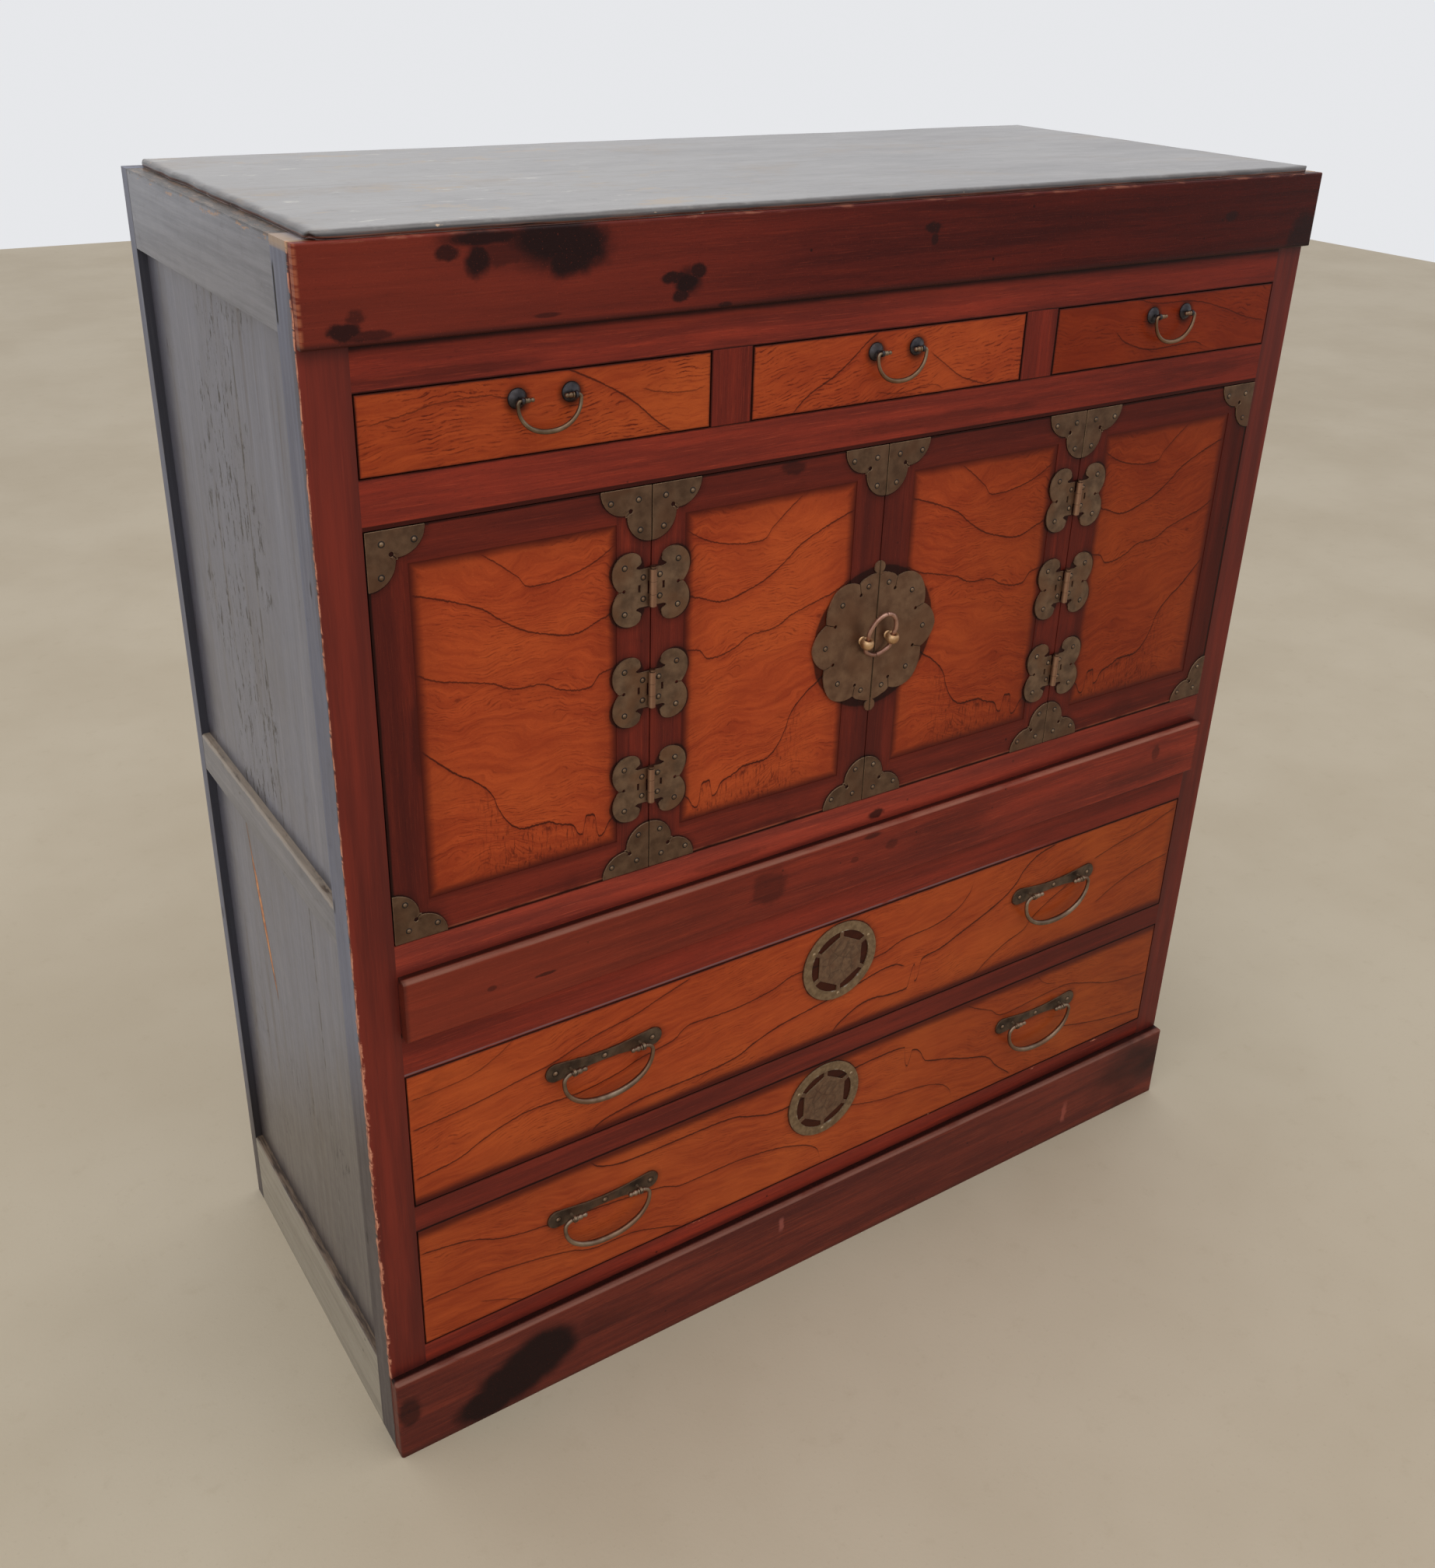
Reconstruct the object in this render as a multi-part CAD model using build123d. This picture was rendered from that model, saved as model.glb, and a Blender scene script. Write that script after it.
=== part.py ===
from build123d import *
import math
import os

# Korean two tier chest: a framed case with three small drawers, a band of four
# framed leaves (two fixed, two opening doors) and two full-width drawers.
# Millimetres, +Z up, +X to the right seen from the front, the front faces -Y.
# The model is laid out with the front frame's face at y = 0 and the back at
# y = DEPTH, then moved so that the origin is the bottom centre of its box.

# ------------------------------------------------------------------ dimensions
W = 1080.0            # case width
H = 1183.0            # case height to the top of posts and cornice
DEPTH = 432.0         # front frame face to back face
POST_W = 37.0         # front post, seen from the front
POST_D = 38.0         # front post, seen from the side
BPOST_W = 25.0
BPOST_D = 20.0
RAIL_T = 30.0         # thickness of the front rails, front to back
SIDE_T = 22.0         # thickness of the side rails
PANEL_RECESS = 8.0    # side panels sit this far in
SIDE_PANEL_T = 8.0
BACK_T = 12.0

TOP_T = 7.0           # top board
TOP_X = 527.0
TOP_Y0, TOP_Y1 = -5.0, 428.0

Z_CORN0, CORN_T = 1110.4, 8.5
Z_D1_TOP, Z_D1_BOT = 1075.0, 1011.0      # small drawer openings
Z_DOOR_TOP, Z_DOOR_BOT = 971.0, 599.7    # leaf band
Z_MB_TOP, Z_MB_BOT, MB_T = 567.0, 503.5, 12.0
Z_L1_TOP, Z_L1_BOT = 458.2, 306.0        # upper wide drawer
Z_L2_TOP, Z_L2_BOT = 275.0, 127.2        # lower wide drawer
Z_PL_TOP, PL_T = 101.6, 12.0
OPEN_X = W / 2 - POST_W                   # 503
MUN_A, MUN_B = 154.5, 195.0               # muntins

Z_SR_TOP = (1115.5, H)
Z_SR_MID = (590.0, 630.0)
Z_SR_BOT = (0.0, 95.0)

LEAF_T = 20.0
LEAF_X = [-OPEN_X, -OPEN_X / 2, 0.0, OPEN_X / 2, OPEN_X]
STILE = 33.0
LRAIL_TOP, LRAIL_BOT = 30.0, 36.0
GAP = 0.6             # half of a gap between two leaves
LPANEL_T = 8.0
LPANEL_IN = 0.5

PLATE_T = 1.2         # sheet metal
HINGE_Z = [880.0, 784.0, 688.0]
AX_Y = -3.6           # hinge axis in front of the leaves
BARREL_R = 3.2
PIN_R, HOLE_R = 1.5, 1.6
TAB_H = 17.2

LOCK_Z = 779.5
LOCK_T = 1.5
EYE_X, EYE_Y, EYE_Z = 15.4, -9.2, 779.0
RING_WIRE = 2.15      # half the thickness of the ring
RING_TILT = 15.0      # the ring leans out at the top, degrees

FRONT_T = 18.0        # drawer fronts
BOX_T = 9.0
BOX_BOT = 6.0
BOX_BACK_Y = 402.0
DRAWER_TRAVEL_SMALL = 285.0
DRAWER_TRAVEL_LARGE = 285.0

BAIL_S = dict(half=27.3, drop=26.4, eye=23.2, z=1056.5, y=-9.0, r0=1.5, r1=2.15, re=2.6)
BAIL_L = dict(half=49.4, drop=44.5, eye=38.5, y=-9.5, r0=2.1, r1=3.2, re=8.4)
SMALL_X = [-349.0, 0.0, 350.0]
LARGE = {"upper": dict(z=400.5, xs=(-299.0, 302.0), disc=(-12.0, 406.5)),
         "lower": dict(z=215.5, xs=(-301.0, 303.0), disc=(-20.0, 223.5))}
DISC_R = 48.0

os.makedirs("parts", exist_ok=True)
NODES = {}


def add(name, *solids):
    out = []
    for s in solids:
        out += list(s.solids())
    NODES.setdefault(name, []).extend(out)


def box(x0, x1, y0, y1, z0, z1):
    return Pos((x0 + x1) / 2, (y0 + y1) / 2, (z0 + z1) / 2) * Box(x1 - x0, y1 - y0, z1 - z0)


def eased(s, r, axis=None):
    """round the edges of a board by r, all of them or those along one axis"""
    e = s.edges() if axis is None else s.edges().filter_by(axis)
    try:
        return fillet(e, r)
    except Exception:
        return s


def front_edges_fillet(s, y, r, zmin=None):
    es = [e for e in s.edges() if all(abs(v.Y - y) < 1e-6 for v in e.vertices())]
    if zmin is not None:
        es = [e for e in es if all(v.Z > zmin for v in e.vertices())]
    return fillet(es, r)


def plate(sketch, x, z, thick, y_face=0.0, mx=False, mz=False):
    """a sheet of metal: the sketch is drawn in (x, z), its back face at y_face"""
    sk = sketch
    if mx:
        sk = mirror(sk, Plane.YZ)
    if mz:
        sk = mirror(sk, Plane.XZ)
    p = Plane(origin=(x, y_face, z), x_dir=(1, 0, 0), z_dir=(0, -1, 0))
    return extrude(p * sk, thick)


# ------------------------------------------------------------------------ case
for s in (-1, 1):
    x0, x1 = sorted((s * OPEN_X, s * W / 2))
    p = box(x0, x1, 0, POST_D, 0, H)
    outer = [e for e in p.edges().filter_by(Axis.Z)
             if all(abs(v.Y) < 1e-6 and abs(v.X - s * W / 2) < 1e-6 for v in e.vertices())]
    p = fillet(outer, 2.5)
    add("front_posts", p)
    x0, x1 = sorted((s * (W / 2 - BPOST_W), s * W / 2))
    p = box(x0, x1, DEPTH - BPOST_D, DEPTH, 0, H)
    outer = [e for e in p.edges().filter_by(Axis.Z)
             if all(abs(v.Y - DEPTH) < 1e-6 and abs(v.X - s * W / 2) < 1e-6 for v in e.vertices())]
    add("back_posts", fillet(outer, 2.0))
    x0, x1 = sorted((s * (W / 2 - SIDE_T), s * W / 2))
    for z0, z1 in (Z_SR_TOP, Z_SR_MID, Z_SR_BOT):
        r = box(x0, x1, POST_D, DEPTH - BPOST_D, z0, z1)
        if z1 < H:
            es = [e for e in r.edges().filter_by(Axis.Y)
                  if all(abs(v.Z - z1) < 1e-6 and abs(v.X - s * W / 2) < 1e-6 for v in e.vertices())]
            r = fillet(es, 2.5)
        add("side_rails", r)
    xa, xb = sorted((s * (W / 2 - PANEL_RECESS), s * (W / 2 - PANEL_RECESS - SIDE_PANEL_T)))
    for z0, z1 in ((Z_SR_BOT[1], Z_SR_MID[0]), (Z_SR_MID[1], Z_SR_TOP[0])):
        add("side_panels", box(xa, xb, POST_D, DEPTH - BPOST_D, z0, z1))

add("back_panel", box(-(W / 2 - BPOST_W), W / 2 - BPOST_W, DEPTH - BACK_T, DEPTH, 18.0, H))

tb = box(-TOP_X, TOP_X, TOP_Y0, TOP_Y1, H, H + TOP_T)
tb = fillet(tb.edges().filter_by(Axis.Z), 9.0)
tb = fillet([e for e in tb.edges() if all(abs(v.Z - (H + TOP_T)) < 1e-6 for v in e.vertices())], 3.0)
add("top_board", tb)

co = box(-W / 2, W / 2, -CORN_T, 0, Z_CORN0, H)
co = front_edges_fillet(co, -CORN_T, 2.0)
add("cornice_board", co)

mb = box(-OPEN_X + 1.0, OPEN_X - 1.0, -MB_T, 0, Z_MB_BOT, Z_MB_TOP)
mb = fillet([e for e in mb.edges().filter_by(Axis.X)
             if all(abs(v.Y + MB_T) < 1e-6 and abs(v.Z - Z_MB_TOP) < 1e-6 for v in e.vertices())], 3.2)
mb = fillet([e for e in mb.edges().filter_by(Axis.X)
             if all(abs(v.Y + MB_T) < 1e-6 and abs(v.Z - Z_MB_BOT) < 1e-6 for v in e.vertices())], 1.5)
add("middle_board", mb)

pl = box(-W / 2, W / 2, -PL_T, 0, 0, Z_PL_TOP)
pl = fillet([e for e in pl.edges().filter_by(Axis.X)
             if all(abs(v.Y + PL_T) < 1e-6 and abs(v.Z - Z_PL_TOP) < 1e-6 for v in e.vertices())], 3.0)
pl = fillet([e for e in pl.edges().filter_by(Axis.Z)
             if all(abs(v.Y + PL_T) < 1e-6 for v in e.vertices())], 3.0)
add("plinth_board", pl)

for z0, z1, t in ((Z_D1_TOP, H, RAIL_T), (Z_DOOR_TOP, Z_D1_BOT, POST_D),
                  (Z_L1_TOP, Z_DOOR_BOT, RAIL_T), (Z_L2_TOP, Z_L1_BOT, RAIL_T),
                  (60.0, Z_L2_BOT, RAIL_T)):
    add("front_rails", box(-OPEN_X, OPEN_X, 0, t, z0, z1))
for s in (-1, 1):
    x0, x1 = sorted((s * MUN_A, s * MUN_B))
    add("muntins", box(x0, x1, 0, 22.0, Z_D1_BOT, Z_D1_TOP))

# inner boards: case top, small drawer deck, compartment floor, dust board, bottom
BACK_IN = DEPTH - BACK_T
add("inner_shelves",
    box(-514.5, 514.5, 38.0, BACK_IN, 1168.0, H),
    box(-OPEN_X, OPEN_X, POST_D, BACK_IN, Z_D1_BOT - 12, Z_D1_BOT),
    box(-OPEN_X, OPEN_X, LEAF_T + 1.0, BACK_IN, Z_DOOR_BOT, Z_DOOR_BOT + 10.3),
    box(-OPEN_X, OPEN_X, RAIL_T, BACK_IN, Z_L1_BOT - 12, Z_L1_BOT),
    box(-OPEN_X, OPEN_X, RAIL_T, BACK_IN, Z_L2_BOT - 12, Z_L2_BOT))
# guides that keep the drawers square
for s in (-1, 1):
    for z in (Z_D1_BOT, Z_L1_BOT, Z_L2_BOT):
        x0, x1 = sorted((s * (OPEN_X - 0.5), s * (W / 2 - SIDE_T)))
        add("drawer_guides", box(x0, x1, POST_D, DEPTH - BPOST_D, z, z + 20))
    x0, x1 = sorted((s * (MUN_A - 1.5), s * (MUN_B + 1.0)))
    add("drawer_guides", box(x0, x1, 22.0, BACK_IN, Z_D1_BOT, Z_D1_BOT + 20))

# ------------------------------------------------------------- sheet metal shapes


def bracket_sketch():
    """corner bracket with its corner at the origin, spreading to +x and +y"""
    a = Pos(12.5, 12.5) * Rectangle(25, 25)
    a += Pos(25, 0) * Circle(23.2)
    a += Pos(0, 25) * Circle(23.2)
    a &= Pos(50, 50) * Rectangle(100, 100)
    a -= Pos(20.0, 20.0) * Circle(2.1)
    a -= Pos(22.2, 22.2) * Rot(0, 0, 45) * Rectangle(6, 0.9)
    return a


BR = bracket_sketch()
BR_NAILS = [(39.0, 10.8), (12.6, 10.8), (10.8, 37.5)]


def wing_sketch():
    """half of a butterfly hinge: seam at x = 0, the wing to +x, centred on y = 0"""
    up = [(12.2, TAB_H), (15.0, 19.4), (11.6, 21.6), (10.6, 25.5), (12.2, 30.0), (17.0, 32.8),
          (23.0, 33.2), (30.5, 30.6), (36.0, 24.8), (38.2, 17.0), (37.2, 9.0), (34.4, 3.4), (31.6, 0.0)]
    dn = [(x, -y) for x, y in reversed(up)]
    c1 = Polyline((12.2, -TAB_H), (0.0, -TAB_H), (0.0, TAB_H), (12.2, TAB_H))
    c2 = Spline(*[up[i] for i in (0, 1, 2, 3)])
    c3 = Spline(*up[3:])
    c4 = Spline(*dn[:10])
    c5 = Spline(*dn[9:])
    f = make_face([c1, c2, c3, c4, c5])
    f -= Pos(27.0, 0) * Circle(1.7)
    f -= Pos(30.0, 0) * Rectangle(6, 0.8)
    f -= Pos(12.0, 0) * Rectangle(2.4, 7.0)
    return f


WING = wing_sketch()
WING_NAILS = [(26.5, 21.0), (26.5, -21.0), (8.2, 9.8), (8.2, -9.8)]


def lock_half_sketch():
    """right half of the lobed lock plate, seam at x = 0"""
    g = GAP
    pts = [((g, 66.4), (9.0, 65.6), (15.8, 63.2)), ((15.8, 63.2), (19.6, 61.4), (22.4, 57.9)),
           ((22.4, 57.9), (36.0, 61.0), (51.2, 54.0)), ((51.2, 54.0), (58.2, 40.5), (59.0, 24.0)),
           ((59.0, 24.0), (69.4, 15.2), (75.0, 1.0)), ((75.0, 1.0), (69.6, -13.2), (59.0, -21.8)),
           ((59.0, -21.8), (58.4, -38.0), (51.2, -53.2)), ((51.2, -53.2), (37.0, -60.0), (22.2, -57.6)),
           ((22.2, -57.6), (19.4, -60.8), (14.6, -63.0)), ((14.6, -63.0), (8.0, -65.6), (g, -66.8))]
    arcs = [ThreePointArc(*p) for p in pts]
    f = make_face(arcs + [Line((g, -66.8), (g, 66.4))])
    half = Pos(50 + g, 0) * Rectangle(100, 220)
    f += (Pos(0, 72.0) * Circle(6.2)) & half
    f += (Pos(0, -72.3) * Circle(6.2)) & half
    for (hx, hy), (nx, ny) in (((20.6, 47.0), (22.4, 58.5)), ((48.8, 20.6), (59.6, 24.3)),
                               ((48.8, -18.8), (59.6, -22.0)), ((20.6, -46.6), (22.2, -58.2))):
        f -= Pos(hx, hy) * Circle(1.9)
        ang = math.degrees(math.atan2(ny - hy, nx - hx))
        L = math.hypot(nx - hx, ny - hy)
        f -= Pos((hx + nx) / 2, (hy + ny) / 2) * Rot(0, 0, ang) * Rectangle(L, 0.8)
    return f


LOCKH = lock_half_sketch()
LOCK_NAILS = [(12.2, 54.5), (42.0, 41.0), (59.4, 0.4), (42.0, -40.0), (12.8, -53.5)]


def disc_sketch():
    f = Circle(DISC_R)
    # six windows with a straight inner side, a round outer side and 4.4 mm bridges between them
    for k in range(6):
        wedge = make_face(Polyline((27.5, -13.33), (41.0, -21.13), (41.0, 21.13), (27.5, 13.33), (27.5, -13.33)))
        f -= Rot(0, 0, 60 * k) * (wedge & Circle(37.5))
    return f


DISC = disc_sketch()


def bar_sketch():
    top = [(-54, 9.8), (-38, 8.2), (-18, 5.5), (0, 4.8), (18, 5.5), (38, 8.2), (54, 9.8)]
    bot = [(x, -y) for x, y in reversed(top)]
    return make_face([Spline(*top), ThreePointArc((54, 9.8), (64.2, 0), (54, -9.8)),
                      Spline(*bot), ThreePointArc((-54, -9.8), (-64.2, 0), (-54, 9.8))])


BAR = bar_sketch()

_dome = Pos(0, 1.25, 0) * Sphere(2.35)
NAIL = _dome & (Pos(0, -2.5, 0) * Box(6, 5, 6))          # domed head, flat back at y = 0


def nail(x, z, y):
    return Pos(x, y, z) * NAIL


# ----------------------------------------------------------------------- leaves


def leaf(name_frame, name_panel, x0, x1, z0, z1, bevel_side=0):
    """stiles and rails as separate sticks, with the panel let in"""
    zi0, zi1 = z0 + LRAIL_BOT, z1 - LRAIL_TOP
    xi0, xi1 = x0 + STILE, x1 - STILE
    left = box(x0, xi0, 0, LEAF_T, z0, z1)
    right = box(xi1, x1, 0, LEAF_T, z0, z1)
    cut = 2.2
    if bevel_side > 0:
        w = Plane.XY.offset(z0 - 1) * Polygon((x1, 4.0), (x1 + 1, 4.0), (x1 + 1, LEAF_T + 1),
                                              (x1 - cut * 1.06, LEAF_T + 1), align=None)
        right -= extrude(w, z1 - z0 + 2)
    if bevel_side < 0:
        w = Plane.XY.offset(z0 - 1) * Polygon((x0, 4.0), (x0 - 1, 4.0), (x0 - 1, LEAF_T + 1),
                                              (x0 + cut * 1.06, LEAF_T + 1), align=None)
        left -= extrude(w, z1 - z0 + 2)
    add(name_frame, left, right, box(xi0, xi1, 0, LEAF_T, z0, zi0), box(xi0, xi1, 0, LEAF_T, zi1, z1))
    add(name_panel, box(xi0, xi1, LPANEL_IN, LPANEL_IN + LPANEL_T, zi0, zi1))


Z0L, Z1L = Z_DOOR_BOT + 0.7, Z_DOOR_TOP - 0.8
leaf("fixed_leaf_frames", "fixed_leaf_panels", LEAF_X[0] + 1.0, LEAF_X[1] - GAP, Z0L, Z1L)
leaf("fixed_leaf_frames", "fixed_leaf_panels", LEAF_X[3] + GAP, LEAF_X[4] - 0.8, Z0L, Z1L)
leaf("door_left_frame", "door_left_panel", LEAF_X[1] + GAP, LEAF_X[2] - GAP, Z0L, Z1L, bevel_side=1)
leaf("door_right_frame", "door_right_panel", LEAF_X[2] + GAP, LEAF_X[3] - GAP, Z0L, Z1L, bevel_side=-1)

LEAVES = [("fixed", LEAF_X[0] + 1.0, LEAF_X[1] - GAP), ("left", LEAF_X[1] + GAP, LEAF_X[2] - GAP),
          ("right", LEAF_X[2] + GAP, LEAF_X[3] - GAP), ("fixed", LEAF_X[3] + GAP, LEAF_X[4] - 0.8)]
BR_NODE = {"fixed": "fixed_corner_brackets", "left": "door_left_brackets", "right": "door_right_brackets"}
NAIL_NODE = {"fixed": "fixed_nails", "left": "door_left_nails", "right": "door_right_nails"}
HINGE_NODE = {"fixed": "fixed_hinge_leaves", "left": "door_left_hinge_leaves", "right": "door_right_hinge_leaves"}
for who, xa, xb in LEAVES:
    for sx, xc in ((1, xa), (-1, xb)):
        for sz, zc in ((1, Z0L), (-1, Z1L)):
            add(BR_NODE[who], plate(BR, xc, zc, PLATE_T, mx=sx < 0, mz=sz < 0))
            for nx, nz in BR_NAILS:
                add(NAIL_NODE[who], nail(xc + sx * nx, zc + sz * nz, -PLATE_T))

# hinges: the axis stands on the gap between a fixed leaf and its door
KN = [(-17.0, -6.0), (-5.7, 5.7), (6.0, 17.0)]       # knuckles: fixed, door, fixed
for axis_x, door_dir, door in ((LEAF_X[1], 1, "left"), (LEAF_X[3], -1, "right")):
    for zc in HINGE_Z:
        for who, d in (("fixed", -door_dir), (door, door_dir)):
            wing = plate(WING, axis_x, zc, PLATE_T, mx=d < 0)
            own = [KN[0], KN[2]] if who == "fixed" else [KN[1]]
            # the sheet is cut back where the other leaf's knuckle turns
            wing -= box(axis_x - GAP, axis_x + GAP, -5, 5, zc - 40, zc + 40)
            for (k0, k1) in KN:
                if (k0, k1) not in own:
                    xx0, xx1 = sorted((axis_x, axis_x + d * 3.9))
                    wing -= box(xx0, xx1, -5, 5, zc + k0 - 0.4, zc + k1 + 0.4)
            for (k0, k1) in own:
                L = k1 - k0
                xx0, xx1 = sorted((axis_x, axis_x + d * 4.5))
                wing += box(xx0, xx1, -PLATE_T, 0, zc + k0, zc + k1) & box(axis_x - 10, axis_x + 10, -PLATE_T, -0.01, zc + k0, zc + k1)
                wing += Pos(axis_x, AX_Y, zc + (k0 + k1) / 2) * Cylinder(BARREL_R, L)
                wing -= Pos(axis_x, AX_Y, zc + (k0 + k1) / 2) * Cylinder(HOLE_R, L + 0.2)
            add(HINGE_NODE[who], wing)
            for nx, nz in WING_NAILS:
                add(NAIL_NODE[who], nail(axis_x + d * nx, zc + nz, -PLATE_T))
        pin = Pos(axis_x, AX_Y, zc) * Cylinder(PIN_R, 36.0)
        pin += Pos(axis_x, AX_Y, zc + 18.6) * Cylinder(2.6, 1.6)
        add("hinge_pins", pin)

# lock plates, eyes and the ring, which is parted at the seam
RX = EYE_X                                            # the wire is straight and upright in each eye


def ring_half(s):
    """half of the ring: an egg-shaped bow of rod with a straight run through the eye"""
    e = 0.35
    run = 5.4
    pts_up = [(RX, run), (16.2, 11.0), (14.3, 18.6), (9.6, 26.6), (e, 31.0)]
    pts_dn = [(RX, -run), (12.3, -12.0), (e, -17.0)]
    pl = Plane(origin=(0, 0, 0), x_dir=(1, 0, 0), z_dir=(0, -1, 0))
    wire = Wire([pl * Spline(*[(s * x, z) for x, z in reversed(pts_dn)], tangents=[(s, 0), (0, 1)]),
                 pl * Line((s * RX, -run), (s * RX, run)),
                 pl * Spline(*[(s * x, z) for x, z in pts_up], tangents=[(0, 1), (-s, 0)])])
    start = Plane(origin=(s * e, 0, -17.0), x_dir=(0, 1, 0), z_dir=(s, 0, 0))
    return Pos(0, EYE_Y, EYE_Z) * Rot(RING_TILT, 0, 0) * sweep(start * Circle(RING_WIRE), path=wire)


for s, who in ((-1, "left"), (1, "right")):
    pl_ = plate(LOCKH, 0, LOCK_Z, LOCK_T, mx=s < 0)
    if s > 0:
        pl_ += box(GAP, GAP + 4.2, -LOCK_T - 0.7, -LOCK_T, LOCK_Z - 64, LOCK_Z + 64)
    pl_ -= Pos(s * EYE_X, -2, EYE_Z) * Rot(90, 0, 0) * Cylinder(2.6, 8)
    add(f"door_{who}_lock_plate", pl_)
    for nx, nz in LOCK_NAILS:
        add(NAIL_NODE[who], nail(s * nx, LOCK_Z + nz, -LOCK_T))
    shank = Pos(s * EYE_X, EYE_Y / 2, EYE_Z) * Rot(90, 0, 0) * Cylinder(2.5, -EYE_Y)
    collar = Pos(s * EYE_X, -LOCK_T - 0.5, EYE_Z) * Rot(90, 0, 0) * Cylinder(4.4, 1.0)
    at = Pos(s * EYE_X, EYE_Y, EYE_Z) * Rot(RING_TILT, 0, 0)
    bead = at * (Sphere(6.8) & Box(15, 15, 9.4))
    eye = (shank + collar + bead) - at * Cylinder(RING_WIRE + 0.08, 24)
    add(f"door_{who}_eye", eye)
    add(f"ring_half_{who}", ring_half(s))


# ---------------------------------------------------------------------- drawers
def drawer(tag, x0, x1, z0, z1, box_top):
    f = box(x0, x1, 0, FRONT_T, z0, z1)
    f = front_edges_fillet(f, 0.0, 1.0)
    add(f"{tag}_front", f)
    bx0, bx1 = x0 + 2.0, x1 - 2.0
    zb = z0 + 0.0
    add(f"{tag}_box",
        box(bx0, bx0 + BOX_T, FRONT_T, BOX_BACK_Y, zb, box_top),
        box(bx1 - BOX_T, bx1, FRONT_T, BOX_BACK_Y, zb, box_top),
        box(bx0 + BOX_T, bx1 - BOX_T, BOX_BACK_Y - BOX_T, BOX_BACK_Y, zb, box_top),
        box(bx0 + BOX_T, bx1 - BOX_T, FRONT_T, BOX_BACK_Y - BOX_T, zb + 3, zb + 3 + BOX_BOT))


def bail(node, xc, yc, zc, half, drop, eye, r0, r1, re):
    """a bow of swelling rod with round elbows; its turned ends point in along the hinge axis"""
    pl = Plane(origin=(xc, yc, zc), x_dir=(1, 0, 0), z_dir=(0, -1, 0))
    d = drop - re
    left = [(-half, -re), (-half * 0.945, -re - d * 0.36), (-half * 0.64, -re - d * 0.79), (0, -drop)]
    out = None
    for s in (-1, 1):
        pts = [(s * -x, z) for x, z in left] if s > 0 else left
        path = pl * Spline(*pts, tangents=[(0, -1), (-s * 1.0, 0)])
        sec0 = Plane(origin=(xc + s * half, yc, zc - re), x_dir=(1, 0, 0), z_dir=(0, 0, -1)) * Circle(r0 + 0.12)
        sec1 = Plane(origin=(xc, yc, zc - drop), x_dir=(0, 1, 0), z_dir=(-s, 0, 0)) * Circle(r1)
        bow = sweep([sec0, sec1], path=path, multisection=True)
        out = bow if out is None else out + bow
    c = math.sqrt(0.5)
    for s in (-1, 1):
        arc = pl * ThreePointArc((s * half, -re), (s * (half - re + re * c), -re + re * c), (s * (half - re), 0))
        sec = Plane(origin=(xc + s * half, yc, zc - re), x_dir=(1, 0, 0), z_dir=(0, 0, 1)) * Circle(r0 + 0.06)
        out += sweep(sec, path=arc)
        out += Pos(xc + s * half, yc, zc - re) * Cylinder(r0 + 0.18, 0.8)
        tip = eye - 5.6 * r0
        x1 = half - re + 0.3
        out += Pos(xc + s * (x1 + tip) / 2, yc, zc) * Rot(0, 90, 0) * Cylinder(r0, x1 - tip)
        out += Pos(xc + s * (eye - 2.6), yc, zc) * Rot(0, 90, 0) * Cylinder(r0 * 1.6, 1.2)
        out += Pos(xc + s * (eye - 2.0 - 2.0 * r0), yc, zc) * Sphere(r0 * 1.5)
        out += Pos(xc + s * tip, yc, zc) * Sphere(r0 * 1.25)
    add(node, out)


def eye_loop(x, y, z, r0, y_base, thick=1.5, w=2.6):
    """a loop whose hole runs along X, on a neck that stands out from y_base"""
    hole = r0 + 0.1
    ro = hole + thick
    o = Pos(x, y, z) * Rot(0, 90, 0) * Cylinder(ro, w)
    o += Pos(x, (y + y_base) / 2, z) * Rot(90, 0, 0) * Cylinder(w / 2 + 0.2, abs(y_base - y))
    o -= Pos(x, y, z) * Rot(0, 90, 0) * Cylinder(hole, w * 3)
    return o


SMALL = [("small_drawer_left", -OPEN_X + 1.0, -MUN_B - 0.9, SMALL_X[0]),
         ("small_drawer_centre", -MUN_A + 0.9, MUN_A - 0.9, SMALL_X[1]),
         ("small_drawer_right", MUN_B + 0.9, OPEN_X - 0.8, SMALL_X[2])]
for tag, x0, x1, xc in SMALL:
    drawer(tag, x0, x1, Z_D1_BOT + 0.4, Z_D1_TOP - 0.9, Z_D1_BOT + 50)
    b = BAIL_S
    posts = []
    for s in (-1, 1):
        x = xc + s * b["eye"]
        dome = (Pos(x, 6.2, b["z"]) * Sphere(10.4)) & box(x - 12, x + 12, -12, 0, b["z"] - 12, b["z"] + 12)
        posts.append(dome + eye_loop(x, b["y"], b["z"], b["r0"], -3.2, thick=1.35))
    add(f"{tag}_pull_posts", *posts)
    bail(f"{tag}_bail", xc, b["y"], b["z"], b["half"], b["drop"], b["eye"], b["r0"], b["r1"], b["re"])

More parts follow.
